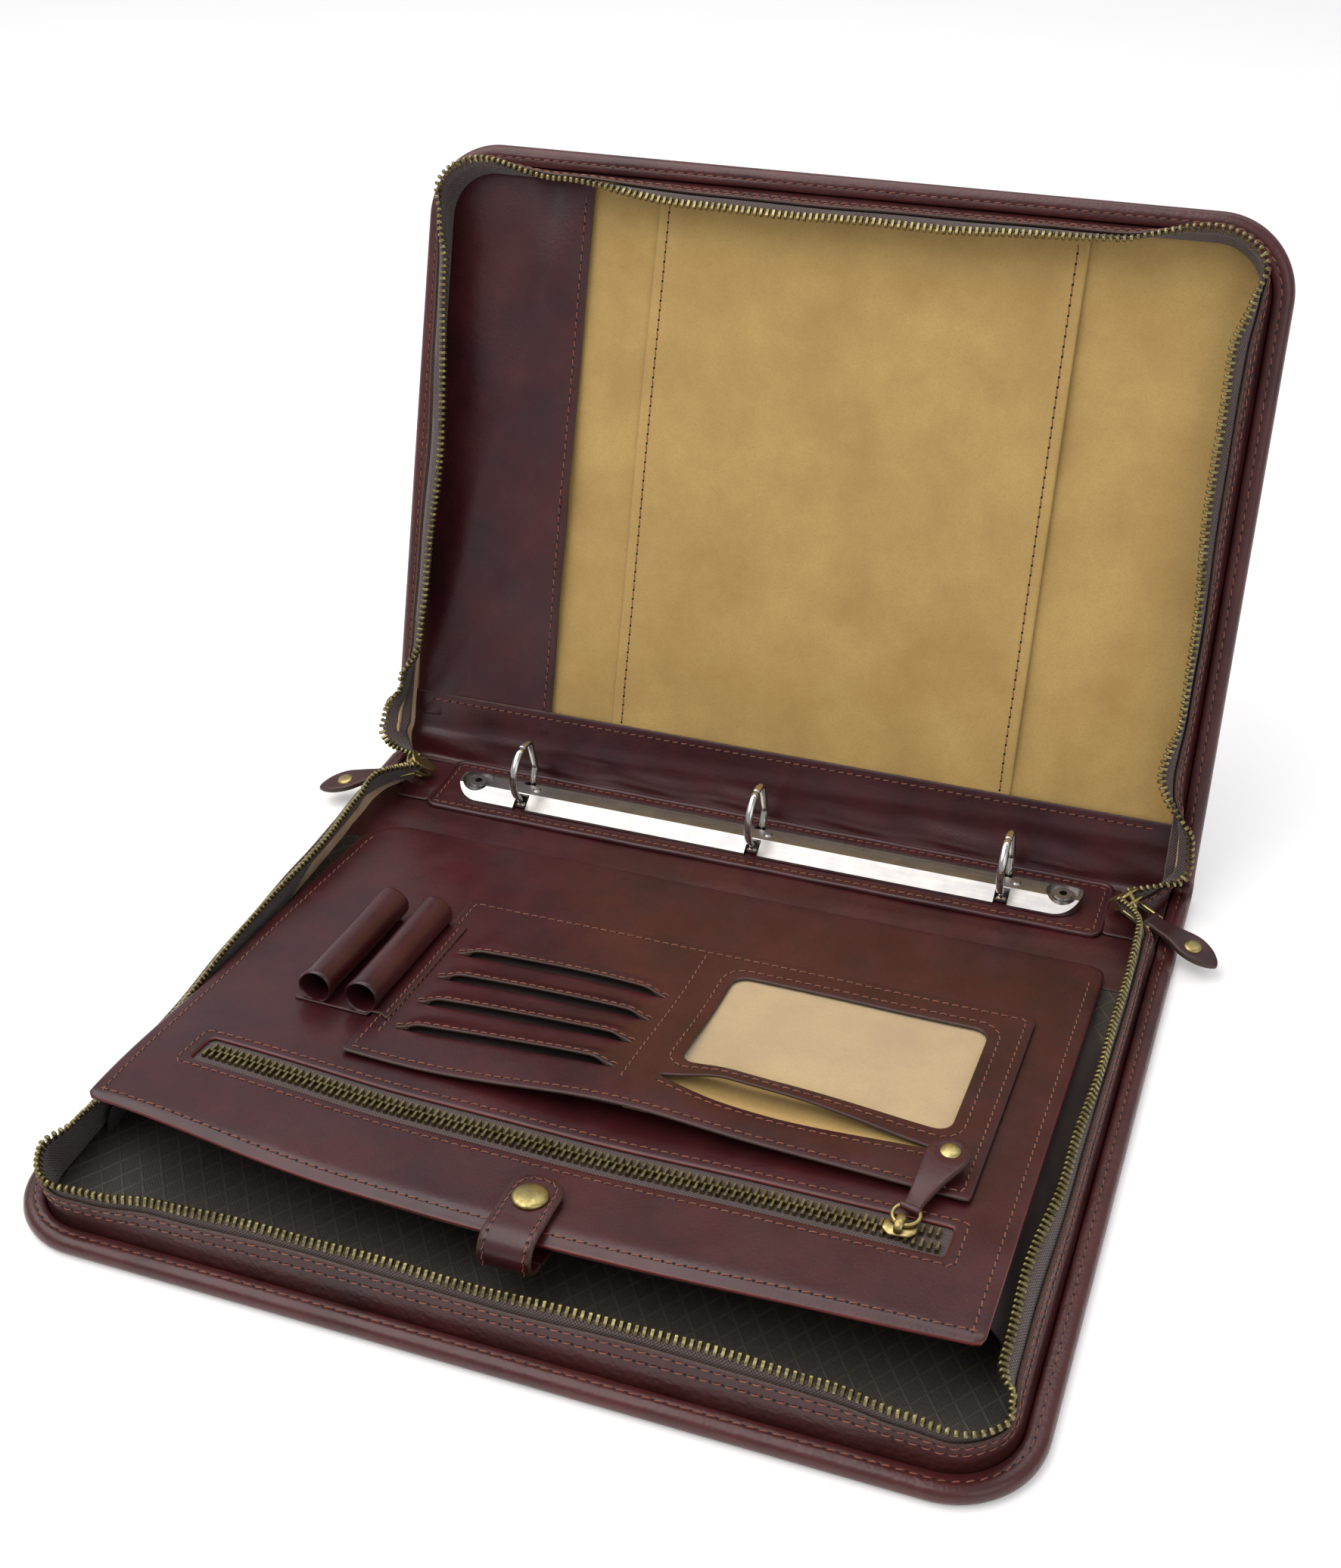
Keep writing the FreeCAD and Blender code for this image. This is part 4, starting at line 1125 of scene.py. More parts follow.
def tooth_shape():
    """A cast zip tooth across the tape's edge: legs clamped on it and a raised head."""
    # Along the tooth: how far out, half width, half height
    side = [(-1.9, 0.6, 0.5), (-1.5, 0.72, 0.85), (-0.4, 0.76, 0.95), (0.4, 0.72, 0.95),
            (0.9, 0.78, 1.1), (1.3, 0.72, 1.05), (1.6, 0.5, 0.7)]
    points = []
    for out, w, h in side:
        points.extend([(-w, out, -h * 0.5), (-w * 0.7, out, -h), (w * 0.7, out, -h),
                       (w, out, -h * 0.5), (w, out, h * 0.5), (w * 0.7, out, h),
                       (-w * 0.7, out, h), (-w, out, h * 0.5)])
    return points, ring_faces(len(side), 8)


TOOTH = tooth_shape()
TOOTH_PITCH = 2.6


def teeth_along(piece, edge, root, pitch):
    """Teeth clamped on the edge of a tape; root is the same line a little behind."""
    edge_points = spaced(edge, pitch)
    root_points = spaced(root, pitch)
    count = len(edge_points)
    last = len(root_points) - 1
    roots = [root_points[min(last, round(k * last / (count - 1)))] for k in range(count)]
    places = []
    for k in range(1, count - 1):
        way = (edge_points[k + 1] - edge_points[k - 1]).normalized()
        out = edge_points[k] - roots[k]
        out = (out - way * out.dot(way)).normalized()
        normal = way.cross(out)
        places.append((edge_points[k] + out * 0.6, way, normal))
    piece.stamp(TOOTH[0], TOOTH[1], places)


for leaf, place in (("base", base_at), ("lid", lid_at)):
    wall_rows, tape_rows = zip_lines(leaf, place)
    wall = Piece(leaf + "_wall_leather", WALL, FLESH, EDGE)
    wall.ribbon(wall_rows, WALL_T, 0, 1, 2)
    build_over_fold(wall, "hide", leaf, leaf + "_zip_wall")

    tape = Piece(leaf + "_tape_cloth", TAPE)
    tape.ribbon(tape_rows, 0.7)
    build_over_fold(tape, "zip_tape", leaf, leaf + "_zip_tape")

    teeth = Piece(leaf + "_teeth_row", TEETH)
    teeth_along(teeth, [row[-1] for row in tape_rows], [row[-2] for row in tape_rows],
                TOOTH_PITCH)
    build_over_fold(teeth, "zip_brass", leaf, leaf + "_zip_teeth")

    threads = thread_piece(leaf + "_wall_stitches")
    normals = grid_normals(wall_rows)
    for share in (0.72, 0.93):
        run = []
        for row, line in zip(wall_rows, normals):
            i = min(int(share * (len(row) - 1)), len(row) - 2)
            t = share * (len(row) - 1) - i
            run.append((row[i].lerp(row[i + 1], t), line[i].lerp(line[i + 1], t)))
        sew(threads, run[3:-3], WALL_PITCH)
    build_over_fold(threads, "hide", leaf)

# ---------------------------------------------------------------- linings

def stand_in(piece, slot, *nodes):
    """Builds a piece that rides with, and takes the place of, CAD nodes."""
    made = piece.build(frame["nodes"][nodes[0]]["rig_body"], slot)
    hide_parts(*nodes)
    return made


def box_outline(x0, x1, y0, y1, radius=0.0):
    return rounded([(x0, y0, radius), (x1, y0, radius), (x1, y1, radius), (x0, y1, radius)])


def grown_box(xs, ys, margin, radius):
    """A box outline moved out by a margin on all sides, or in by a negative one."""
    return box_outline(xs[0] - margin, xs[1] + margin, ys[0] - margin, ys[1] + margin, radius)


def leaf_outline(inset, back):
    """The area inside a leaf's outline, from v = back to the free edge."""
    half = WIDTH / 2 - inset
    return rounded([(-half, back, 0), (half, back, 0), (half, DEPTH - inset, CORNER_R - inset),
                    (-half, DEPTH - inset, CORNER_R - inset)])


def closed_run(outline):
    """Evenly spaced points once round an outline, back to the first."""
    loop = spaced(outline, 2.0, True)
    return loop + loop[:1]


def open_run(loop):
    """The points of a broken loop in order, starting after its widest gap."""
    start = max(range(len(loop)), key=lambda i: (loop[i] - loop[i - 1]).length)
    return loop[start:] + loop[:start]


def along_line(line, t):
    """The point a distance t along a line, and the line's direction there."""
    rest = min(max(t, 0.0), lengths_along(line)[-1])
    for a, b in zip(line, line[1:]):
        length = (b - a).length
        if rest <= length or b is line[-1]:
            break
        rest -= length
    way = (b - a).normalized()
    return a + way * rest, way


def crease(x, y, x0, y0, turn, width, depth):
    """A soft fold line through (x0, y0)."""
    across = (x - x0) * math.sin(math.radians(turn)) - (y - y0) * math.cos(math.radians(turn))
    return depth * math.exp(-(across / width) ** 2)


# Stiffeners, clear of the hide's bends and turned edges
BOARD_IN = 9.7
spine_board_outline = box_outline(-WIDTH / 2 + BOARD_IN, WIDTH / 2 - BOARD_IN,
                                  -SPINE + FOLD_REACH, -FOLD_REACH)
for leaf, place, outline in (("base", base_at, leaf_outline(BOARD_IN, FOLD_REACH)),
                             ("spine", base_at, spine_board_outline),
                             ("lid", lid_at, leaf_outline(BOARD_IN, BEND_REACH + 1))):
    board = Piece(leaf + "_stiffener", BOARD)
    plate(board, outline, place, lambda x, v: 1.45, 1.9, step=12.0)
    stand_in(board, "board", leaf + "_board")

LINING_IN = 8.9
LINING_BACK = 3.5


def base_lining_lift(x, v):
    return 3.55 + 0.25 * math.sin(x / 23 + 1) * math.sin(v / 31) + 0.15 * math.sin(x / 9 + v / 13)


lining_outline = leaf_outline(LINING_IN, LINING_BACK)
lining = Piece("base_lining_cloth", JACQUARD)
plate(lining, lining_outline, base_at, base_lining_lift, 0.6, step=7.0)
lining_made = stand_in(lining, "jacquard", "base_lining")


def lid_lining_lift(x, v):
    waves = 0.35 * math.sin(x / 31 + 0.5) * math.sin(v / 40 + 1)
    waves += 0.18 * math.sin(x / 13 + v / 19) + crease(x, v, 130, 90, 80, 6, 0.5)
    return 3.45 + waves


lid_suede = Piece("lid_suede_lining", SUEDE)
plate(lid_suede, leaf_outline(LINING_IN, 12.0), lid_at, lid_lining_lift, 0.8, step=6.0)
stand_in(lid_suede, "suede_lining", "lid_lining")

LINED_UP = 0.9             # from the lid lining's underside to what lies on it
POCKET_T = 1.1
BAND_T = 1.3
STRIP_T = 1.2
SEAM_VS = range(34, 260, 2)
POCKET_HEM_X = -106.0
POCKET_IN = 10.8
POCKET_FOOT = 22.0
BAND_X = (-77.0, 103.0)


def pocket_lift(x, v):
    lift = lid_lining_lift(x, v) + LINED_UP
    lift += 1.6 * smooth((x + 125) / 22)
    lift += crease(x, v, -140, 70, 62, 5, 1.3) + crease(x, v, -150, 120, 75, 7, 0.9)
    lift += crease(x, v, -125, 210, 100, 6, 0.8) + 0.35 * math.sin(v / 11 + x / 17)
    return lift


pocket_outline = rounded([(-WIDTH / 2 + POCKET_IN, POCKET_FOOT, 0), (POCKET_HEM_X, POCKET_FOOT, 0),
                          (POCKET_HEM_X, DEPTH - POCKET_IN, 0),
                          (-WIDTH / 2 + POCKET_IN, DEPTH - POCKET_IN, CORNER_R - POCKET_IN)])
pocket = Piece("lid_pocket_leather", PANEL, EDGE)
plate(pocket, pocket_outline, lid_at, pocket_lift, POCKET_T, edge_slot=1)
stand_in(pocket, "panel_leather", "lid_side_pocket")


def band_lift(x, v):
    edge = smooth((x - 70) / 33) * 1.8 + smooth((-50 - x) / 27) * 0.8
    rise = edge * (0.7 + 0.3 * math.sin(v / 26)) + 0.4 * math.sin(x / 29 + 2) * math.sin(v / 33)
    return lid_lining_lift(x, v) + LINED_UP + rise * smooth((v - 35) / 18)


band = Piece("lid_band_suede", SUEDE)
plate(band, box_outline(*BAND_X, POCKET_FOOT, DEPTH - POCKET_IN), lid_at, band_lift, BAND_T)
stand_in(band, "suede_lining", "lid_centre_band")

STRIP_TOP = 33.0
# Side view (y, z) of the strip's back: from the ring pad, into the fold, up the lid
lid_top = lid_at(0, STRIP_TOP, 5.9)
lid_low = lid_at(0, 17.0, 5.2)
STRIP_LINE = spline([(0, 176.5, 4.35), (0, 178.8, 4.9), (0, 180.2, 7.2), (0, 181.2, 11.5),
                     lid_low, lid_top], 6)
STRIP_L = lengths_along(STRIP_LINE)[-1]


def on_strip(x, t, h):
    """x across, t along the hinge strip from under the ring pad, h off its back."""
    spot, way = along_line(STRIP_LINE, t)
    spot += Vector((0, -way.z, way.y)) * h
    return Vector((x, spot.y, spot.z))


def strip_lift(x, t):
    waves = 0.5 * math.sin(x / 19) * smooth((t - 9) / 8) * smooth((STRIP_L - 3 - t) / 10)
    waves += 0.3 * math.sin(x / 7.5 + t / 3) * smooth((t - 3) / 4) * smooth((20 - t) / 8)
    return waves + crease(x, t, 40, STRIP_L - 13, 2, 2.6, 0.8)


STRIP_X = 174.2
strip = Piece("lid_hinge_leather", PANEL, EDGE)
plate(strip, box_outline(-STRIP_X, STRIP_X, 0, STRIP_L), on_strip, strip_lift, STRIP_T,
      edge_slot=1, step=3.2, bands=((0, 16, 2.0),))
build_over_fold(strip, "panel_leather", "lid", "lid_hinge_strip")

threads = thread_piece("lid_lining_stitches")
for seam_x, lift, thick in ((POCKET_HEM_X - 3.5, pocket_lift, POCKET_T),
                            (BAND_X[0] + 4.5, band_lift, BAND_T),
                            (BAND_X[1] - 4.5, band_lift, BAND_T)):
    sew(threads, run_on([Vector((seam_x, v)) for v in SEAM_VS], lid_at,
                        lambda x, v: lift(x, v) + thick), LID_PITCH)
sew(threads, run_on([Vector((x, STRIP_L - 3.2)) for x in range(-164, 165, 2)], on_strip,
                    lambda x, t: strip_lift(x, t) + STRIP_T), LID_PITCH)
threads.build("lid", "panel_leather")

# ---------------------------------------------------------------- spine

PAD_LOW, PAD_HIGH = node_box("ring_pad")
PAD_R = 5.0


def pad_lift(x, y):
    return PAD_LOW.z + 0.25 + 0.15 * math.sin(x / 17) * math.sin(y / 5)


def straight(x, y, z):
    return Vector((x, y, z))


pad_outline = box_outline(PAD_LOW.x, PAD_HIGH.x, PAD_LOW.y, PAD_HIGH.y, PAD_R)
pad = Piece("ring_pad_leather", PANEL)
PAD_T = PAD_HIGH.z - PAD_LOW.z - 0.5
plate(pad, pad_outline, straight, pad_lift, PAD_T, roll=1.6)
stand_in(pad, "panel_leather", "ring_pad")

piping = Piece("ring_pad_piping", PANEL)
line = spaced(inset_loop(spaced(pad_outline, 2.0, True), 0.9), 2.0, True)
piping.tube([Vector((p.x, p.y, PAD_HIGH.z - 0.8 + 0.1 * math.sin(p.x / 6))) for p in line],
            1.25, closed=True, sides=10)
piping.build("spine", "panel_leather")

threads = thread_piece("ring_pad_stitches")
loop = closed_run(inset_loop(spaced(pad_outline, 2.0, True), 3.6))
sew(threads, run_on(loop, straight, lambda x, y: pad_lift(x, y) + PAD_T), PAD_PITCH)
threads.build("spine", "panel_leather")

VALLEY_FRONT = 112.0


def valley_lift(x, y):
    """Leather from under the organiser, over the fold, to under the ring pad."""
    sag = 0.5 * math.sin(math.pi * min(max((y - 118) / 26, 0), 1))
    return (4.15 + sag + 0.25 * math.sin(x / 23 + 1) * smooth((y - 118) / 8)
            + crease(x, y, 60, 131, 3, 1.6, 0.5))


valley = Piece("spine_leather", PANEL, EDGE)
plate(valley, box_outline(-STRIP_X, STRIP_X, VALLEY_FRONT, SPINE_MID_Y + 17), straight,
      valley_lift, 0.6, edge_slot=1, step=4.4, bands=((FOLD_1.y - 9, FOLD_1.y + 9, 2.0),))
build_over_fold(valley, "panel_leather", "base", "spine_lining")


def tuck_lift(x, y):
    """A crosswise bulge; it is the same all along x."""
    share = (y - SPINE_MID_Y) / 16.0
    return 4.9 + 1.0 * (1 - share * share) + 0.25 * math.sin(y / 2.2)


# Folded leather ends between the pad and the zip
for side in (-1, 1):
    tuck = Piece("spine_tuck_" + ("left" if side < 0 else "right"), PANEL, EDGE)
    start = PAD_LOW.x - 16 if side < 0 else PAD_HIGH.x - 1
    plate(tuck, box_outline(start, start + 17, SPINE_MID_Y - 15, SPINE_MID_Y + 15, 3.0), straight,
          tuck_lift, 1.0, edge_slot=1, step=2.4)
    tuck.build("spine", "panel_leather")

# ---------------------------------------------------------------- organiser

PANEL_X = (-162.0, 158.5)
PANEL_FRONT = -99.0
PANEL_T = 1.6
PANEL_UNDER = 1.2
STRAP_X = 3.0


def flat_at(x, y, h):
    """Organiser coordinates: flat on the tilted panel, h above its underside."""
    return turned(Vector((x, y, PANEL_BACK.z + h)), PANEL_BACK, -PANEL_TILT)


def panel_lift(x, y):
    """Underside of the panel leather: its free front edge curls up at the left."""
    front = smooth((15 - y) / 112)
    left = smooth((-60 - x) / 95)
    dip = math.exp(-((x - STRAP_X) / 60) ** 2)
    droop = 1.8 * smooth((PANEL_FRONT + 3.5 - y) / 7)
    waves = 0.3 * math.sin(x / 37 + 1) * math.sin(y / 29) + 0.12 * math.sin(x / 13 + y / 17)
    return (PANEL_UNDER + front * (7.0 * left - 1.6 * dip) - droop
            + waves * smooth((118 - y) / 30))


def panel_top(x, y):
    return panel_lift(x, y) + PANEL_T


def bowed(outline):
    """The free edges of the panel belly outwards."""
    result = []
    length = PANEL_BACK.y - PANEL_FRONT
    for p in outline:
        front = smooth((PANEL_FRONT + 30 - p.y) / 30)
        left = smooth((PANEL_X[0] + 30 - p.x) / 30)
        across = (p.x - PANEL_X[0]) / (PANEL_X[1] - PANEL_X[0])
        along = min(max((p.y - PANEL_FRONT) / length, 0), 1)
        result.append(Vector((p.x - 3.5 * left * math.sin(math.pi * along),
                              p.y - 4.5 * front * math.sin(math.pi * min(max(across, 0), 1)))))
    return result


panel_outline = bowed(spaced(rounded([(PANEL_X[0], PANEL_FRONT, 2), (PANEL_X[1], PANEL_FRONT, 2),
                                      (PANEL_X[1], PANEL_BACK.y, 6),
                                      (PANEL_X[0], PANEL_BACK.y, 18)]), 2.0, True))
ZIP_X = (-141.0, 138.0)
ZIP_Y = (-65.5, -50.5)
ZIP_MID = (ZIP_Y[0] + ZIP_Y[1]) / 2
zip_opening = box_outline(*ZIP_X, *ZIP_Y, 1.5)
# The panel's rim takes the lighter leather with the painted edge highlight.
panel = Piece("organiser_leather", PANEL, TURNED_EDGE_HIGHLIGHT)
plate(panel, panel_outline, flat_at, panel_lift, PANEL_T, holes=[zip_opening[::-1]], roll=1.3,
      step=4.2, edge_slot=1, bands=((PANEL_FRONT - 6, PANEL_FRONT + 6, 1.5),))
stand_in(panel, "panel_leather", "organiser_panel")

# The backing uses the same lighter leather that paints the edge highlight.
backing = Piece("organiser_lining", TURNED_EDGE_HIGHLIGHT)
plate(backing, inset_loop(panel_outline, 1.2), flat_at,
      lambda x, y: panel_lift(x, y) - PANEL_UNDER + 0.05, 0.55, step=7.0)
stand_in(backing, "panel_leather", "organiser_backing")

threads = thread_piece("organiser_stitches")
border = inset_loop(spaced(panel_outline, 2.0, True), 4.6)
sewn = open_run([p for p in border if p.y < PANEL_BACK.y - 12])
sew(threads, run_on(sewn, flat_at, panel_top), PANEL_PITCH)
zip_border = box_outline(ZIP_X[0] - 4, ZIP_X[1] + 4, ZIP_Y[0] - 3.6, ZIP_Y[1] + 3.6, 2)
sew(threads, run_on(closed_run(zip_border), flat_at, panel_top), PANEL_PITCH)
threads.build("organiser", "panel_leather")

# Pocket zip: tape under the opening, chain, and the open teeth past the slider
SLIDER_X = 121.0
tape = Piece("pocket_tape_cloth", TAPE)
plate(tape, box_outline(ZIP_X[0] - 4, ZIP_X[1] + 4, ZIP_Y[0] - 3, ZIP_Y[1] + 3), flat_at,
      lambda x, y: panel_lift(x, y) - 0.5, 0.6, step=4.0)
stand_in(tape, "zip_tape", "pocket_zip_tape")


def bar_shape(length, width, height):
    """A clamped zip tooth lying across the chain, with a domed head and a waist."""
    outline = [(-0.5, -0.42), (-0.2, -0.5), (0.15, -0.36), (0.38, -0.5), (0.5, -0.3)]
    outline += [(a, -b) for a, b in reversed(outline)]
    points = []
    levels = ((0.0, 1.0), (0.6, 1.0), (1.0, 0.7))
    for z, scale in levels:
        points.extend((b * width * scale, a * length * (0.9 + 0.1 * scale), z * height)
                      for a, b in outline)
    return points, ring_faces(len(levels), len(outline))


CHAIN_PITCH = 2.7
teeth = Piece("pocket_chain", TEETH)
bar = bar_shape(4.3, 1.5, 1.7)
for row in (-1, 1):
    places = []
    x = ZIP_X[0] + 3 + (CHAIN_PITCH / 2 if row > 0 else 0)
    while x < ZIP_X[1] - 2:
        spread = 1.7 * smooth((x - SLIDER_X) / 8)
        y = ZIP_MID + row * (1.75 + spread)
        here = flat_at(x, y, panel_lift(x, y) + 0.1)
        up = flat_at(x, y, panel_lift(x, y) + 1.1) - here
        places.append((here, Vector((-row, 0, 0)), up))
        x += CHAIN_PITCH
    teeth.stamp(bar[0], bar[1], places)
stand_in(teeth, "zip_brass", "pocket_zip_teeth")

# Card and ID panel
CARD_X = (-94.5, 140.0)
CARD_Y = (-39.0, 75.0)
CARD_T = 1.3
SLOT_X = (-82.5, 5.0)
SLOT_YS = [-19.0 + 18.0 * k for k in range(4)]
WINDOW_X = (25.0, 125.0)
WINDOW_Y = (-5.0, 60.0)
SLIT_X = (22.0, 124.0)
SLIT_Y = -17.0
SLOT_RISE = 2.8


def card_bulge(x, y):
    """The front edge stands off the organiser in the middle."""
    rise = 7.5 * math.exp(-((x - 12) / 46) ** 2) + 2.2 * math.exp(-((x - 85) / 40) ** 2)
    return rise * smooth((45 - y) / 84)


def lips(x, y):
    """The lips behind the slots and the long slit stand up; the slit's front lip sinks."""
    lift = 0.0
    for slot_y in SLOT_YS:
        edge = slot_y + 1.5 * (1 - ((x - sum(SLOT_X) / 2) / 45) ** 2)
        ends = smooth((x - SLOT_X[0]) / 10) * smooth((SLOT_X[1] - x) / 10)
        if y > edge + 0.6:
            lift = max(lift, SLOT_RISE * ends * (1 - smooth((y - edge - 0.8) / 11)))
    ends = smooth((x - SLIT_X[0]) / 25) * smooth((SLIT_X[1] - x) / 60)
    if y > SLIT_Y:
        return lift + 5.0 * ends * (1 - smooth((y - SLIT_Y) / 26))
    return lift - 1.6 * ends * (1 - smooth((SLIT_Y - y) / 14))


def card_lift(x, y):
    return panel_top(x, y) + 1.0 + card_bulge(x, y) + lips(x, y)


def card_top(x, y):
    return card_lift(x, y) + CARD_T


LENS_STEPS = 22


def lens(x0, x1, y, bow, gape, skew=0.0):
    """A clockwise slot outline: a bowed lower lip and a wider bowed upper lip."""
    lower = []
    upper = []
    for k in range(LENS_STEPS + 1):
        t = k / LENS_STEPS
        arch = math.sin(math.pi * t ** (1 - skew))
        x = x0 + (x1 - x0) * t
        lower.append(Vector((x, y + bow * arch)))
        upper.append(Vector((x, y + bow * arch + 0.5 + gape * arch)))
    return upper + lower[::-1]


card_holes = [lens(*SLOT_X, y, 1.5, 1.3) for y in SLOT_YS]
card_holes.append(box_outline(*WINDOW_X, *WINDOW_Y, 6.0)[::-1])
card_holes.append(lens(*SLIT_X, SLIT_Y, -4.2, 7.0, 0.3))
card = Piece("card_leather", PANEL, EDGE)
plate(card, box_outline(*CARD_X, *CARD_Y, 1.5), flat_at, card_lift, CARD_T, holes=card_holes,
      step=3.0, edge_slot=1, roll=0.9)
stand_in(card, "panel_leather", "card_panel")

DIVIDER_X = 14.0
# Behind the card slots the lining is dark cloth, as painted shade in the gaps under the slot lips;
# behind the window and the slit it is tan suede.
for name, material, x0, x1 in (("card_slot_lining", CLOTH, CARD_X[0] + 2, DIVIDER_X - 0.4),
                               ("card_suede_lining", SUEDE, DIVIDER_X + 0.4, CARD_X[1] - 2)):
    inside_card = Piece(name, material)
    plate(inside_card, box_outline(x0, x1, CARD_Y[0] + 5, CARD_Y[1] - 2), flat_at,
          lambda x, y: panel_top(x, y) + 0.15 + 0.55 * card_bulge(x, y), 0.5, step=5.0)
    stand_in(inside_card, "suede_lining", "card_lining")

film = Piece("id_window_film", FILM)
plate(film, grown_box(WINDOW_X, WINDOW_Y, 3.5, 3), flat_at,
      lambda x, y: card_lift(x, y) - 0.2, 0.12, step=5.0)
stand_in(film, "clear_film", "window_film")

threads = thread_piece("card_stitches")
runs = [closed_run(grown_box(CARD_X, CARD_Y, -3.3, 1.5)),
        closed_run(grown_box(WINDOW_X, WINDOW_Y, 4.5, 9.0))]
runs += [lens(SLOT_X[0] - 1, SLOT_X[1] + 1, y + 1.6, 1.5, 1.3)[:LENS_STEPS + 1] for y in SLOT_YS]
runs.append([Vector((SLOT_X[0] - 4.5, y)) for y in range(-24, 46, 2)])
runs.append([Vector((SLOT_X[1] + 4.5, y)) for y in range(-24, 72, 2)])
SLIT_L = SLIT_X[1] - SLIT_X[0]
runs.append([Vector((x, SLIT_Y - 3.8 - 3.9 * math.sin(math.pi * ((x - SLIT_X[0]) / SLIT_L) ** 0.7)))
             for x in range(int(SLIT_X[0]), int(SLIT_X[1]), 3)])
for run in runs:
    sew(threads, run_on(run, flat_at, card_top), PANEL_PITCH)
threads.build("organiser", "panel_leather")

# Pen loops and the stitched strip that holds them
PEN_X = (-119.0, -99.5)
PEN_Y = (-13.0, 53.0)
PEN_R = 6.7
PEN_T = 1.2
PEN_STRIP_X = (-128.0, -86.5)
PEN_STRIP_T = 1.0


def pen_strip_lift(x, y):
    over_card = smooth((x + 97.5) / 3.0)
    return panel_top(x, y) + 0.1 + over_card * (card_top(x, y) - panel_top(x, y))


pen_strip = Piece("pen_strip_leather", PANEL, EDGE)
plate(pen_strip, rounded([(PEN_STRIP_X[0], PEN_Y[0] - 1, 1), (PEN_STRIP_X[1] - 4, PEN_Y[0] - 1, 1),
                          (PEN_STRIP_X[1] - 0.5, PEN_Y[0] - 4, 0.6),
                          (PEN_STRIP_X[1], PEN_Y[1] + 1, 1), (PEN_STRIP_X[0], PEN_Y[1] + 1, 1)]),
      flat_at, pen_strip_lift, PEN_STRIP_T, step=3.0, edge_slot=1)
stand_in(pen_strip, "panel_leather", "pen_strip")

for x, node in zip(PEN_X, ("left_pen_loop", "right_pen_loop")):
    floor = panel_top(x, 20) + 1.3
    profile = [(PEN_R - PEN_T, 1.0), (PEN_R - PEN_T * 0.9, 0.1), (PEN_R - PEN_T * 0.45, -0.35),
               (PEN_R - 0.05, 0.1), (PEN_R + 0.1, 1.0), (PEN_R, 2.4)]
    rows = []
    for a in angles(28):
        line = []
        ends = [(r, PEN_Y[0] + dy) for r, dy in profile]
        middle = [(PEN_R, PEN_Y[0] + 6 + 9 * m) for m in range(6)]
        tail = [(r, PEN_Y[1] - dy) for r, dy in reversed(profile)]
        inner = [(PEN_R - PEN_T, PEN_Y[1] - 8 - 10 * m) for m in range(5)]
        for r, y in ends + middle + tail + inner:
            wobble = 1 + 0.025 * math.sin(2 * a + y / 17) + 0.015 * math.sin(3 * a + y / 7 + x)
            flare = 0.35 * math.exp(-((y - PEN_Y[0]) / 5) ** 2)
            radius = (r + flare) * wobble
            line.append(flat_at(x + radius * math.cos(a), y,
                                floor + PEN_R + radius * math.sin(a) * 0.98))
        rows.append(line + line[:1])
    rows.append(rows[0])
    sleeve = Piece(node + "_leather", PANEL)
    sleeve.grid(rows)
    stand_in(sleeve, "panel_leather", node)

threads = thread_piece("pen_strip_stitches")
run = [Vector((PEN_STRIP_X[1] - 2.6, y)) for y in range(int(PEN_Y[0]), int(PEN_Y[1]), 2)]
sew(threads, run_on(run, flat_at, lambda x, y: pen_strip_lift(x, y) + PEN_STRIP_T), PEN_PITCH)
threads.build("organiser", "panel_leather")

# Snap strap: over the front edge, with a soft loop, a domed cap and stitched sides
STRAP_HALF = 9.75
STRAP_T = 2.0
SNAP_Y = -89.0
STRAP_BACK = -76.5
STRAP_TOP_H = 5.0
# Side view (y, h) of the strap's outer face: over the panel, out, and down
strap_side = [(STRAP_BACK, STRAP_TOP_H), (-84, STRAP_TOP_H), (-92, STRAP_TOP_H),
              (-99, STRAP_TOP_H - 0.4), (-104.5, STRAP_TOP_H - 0.6), (-109.0, 3.0),
              (-111.6, -0.5), (-112.0, -4.5), (-110.5, -8.5), (-106.5, -10.8), (-102.0, -11.2)]
strap_line = spline([(0, y, h) for y, h in strap_side], 4)
STRAP_L = lengths_along(strap_line)[-1]


def on_strap(x, t, h):
    """x across the strap, t along it from its back end, h off its inner face."""
    spot, way = along_line(strap_line, t)
    spot += Vector((0, way.z, -way.y)) * (h - STRAP_T)
    return flat_at(STRAP_X + x, spot.y, spot.z)


strap = Piece("snap_strap_leather", PANEL, EDGE)
strap_outline = rounded([(-STRAP_HALF, 0, 8.5), (STRAP_HALF, 0, 8.5), (STRAP_HALF, STRAP_L, 0),
                         (-STRAP_HALF, STRAP_L, 0)])
plate(strap, strap_outline, on_strap, lambda x, t: 0.0, STRAP_T, step=2.2, edge_slot=1)
stand_in(strap, "panel_leather", "snap_strap")
threads = thread_piece("snap_strap_stitches")
line = [p for p in inset_loop(spaced(strap_outline, 1.5, True), 2.5) if p.y < STRAP_L - 9]
sew(threads, run_on(open_run(line), on_strap, lambda x, t: STRAP_T), STRAP_PITCH)
threads.build("snap_strap", "panel_leather")


def turned_shape(piece, profile, place, sides=40, slot=0):
    """A turned part from (radius, height) pairs; place turns (x, y, height) into the frame."""
    rows = [[place(r * math.cos(a), r * math.sin(a), h) for r, h in profile]
            for a in angles(sides)]
    piece.grid(rows + rows[:1], slot)


cap = Piece("snap_cap_dome", BRASS)
turned_shape(cap, [(0.0, 2.1), (3.0, 2.0), (4.8, 1.75), (5.7, 1.45), (6.2, 1.05), (6.4, 0.6),
                   (6.3, 0.15), (5.8, -0.2), (0.0, -0.2)],
             lambda x, y, h: on_strap(x, STRAP_BACK - SNAP_Y + y, STRAP_T + h))
stand_in(cap, "antique_brass", "snap_cap")

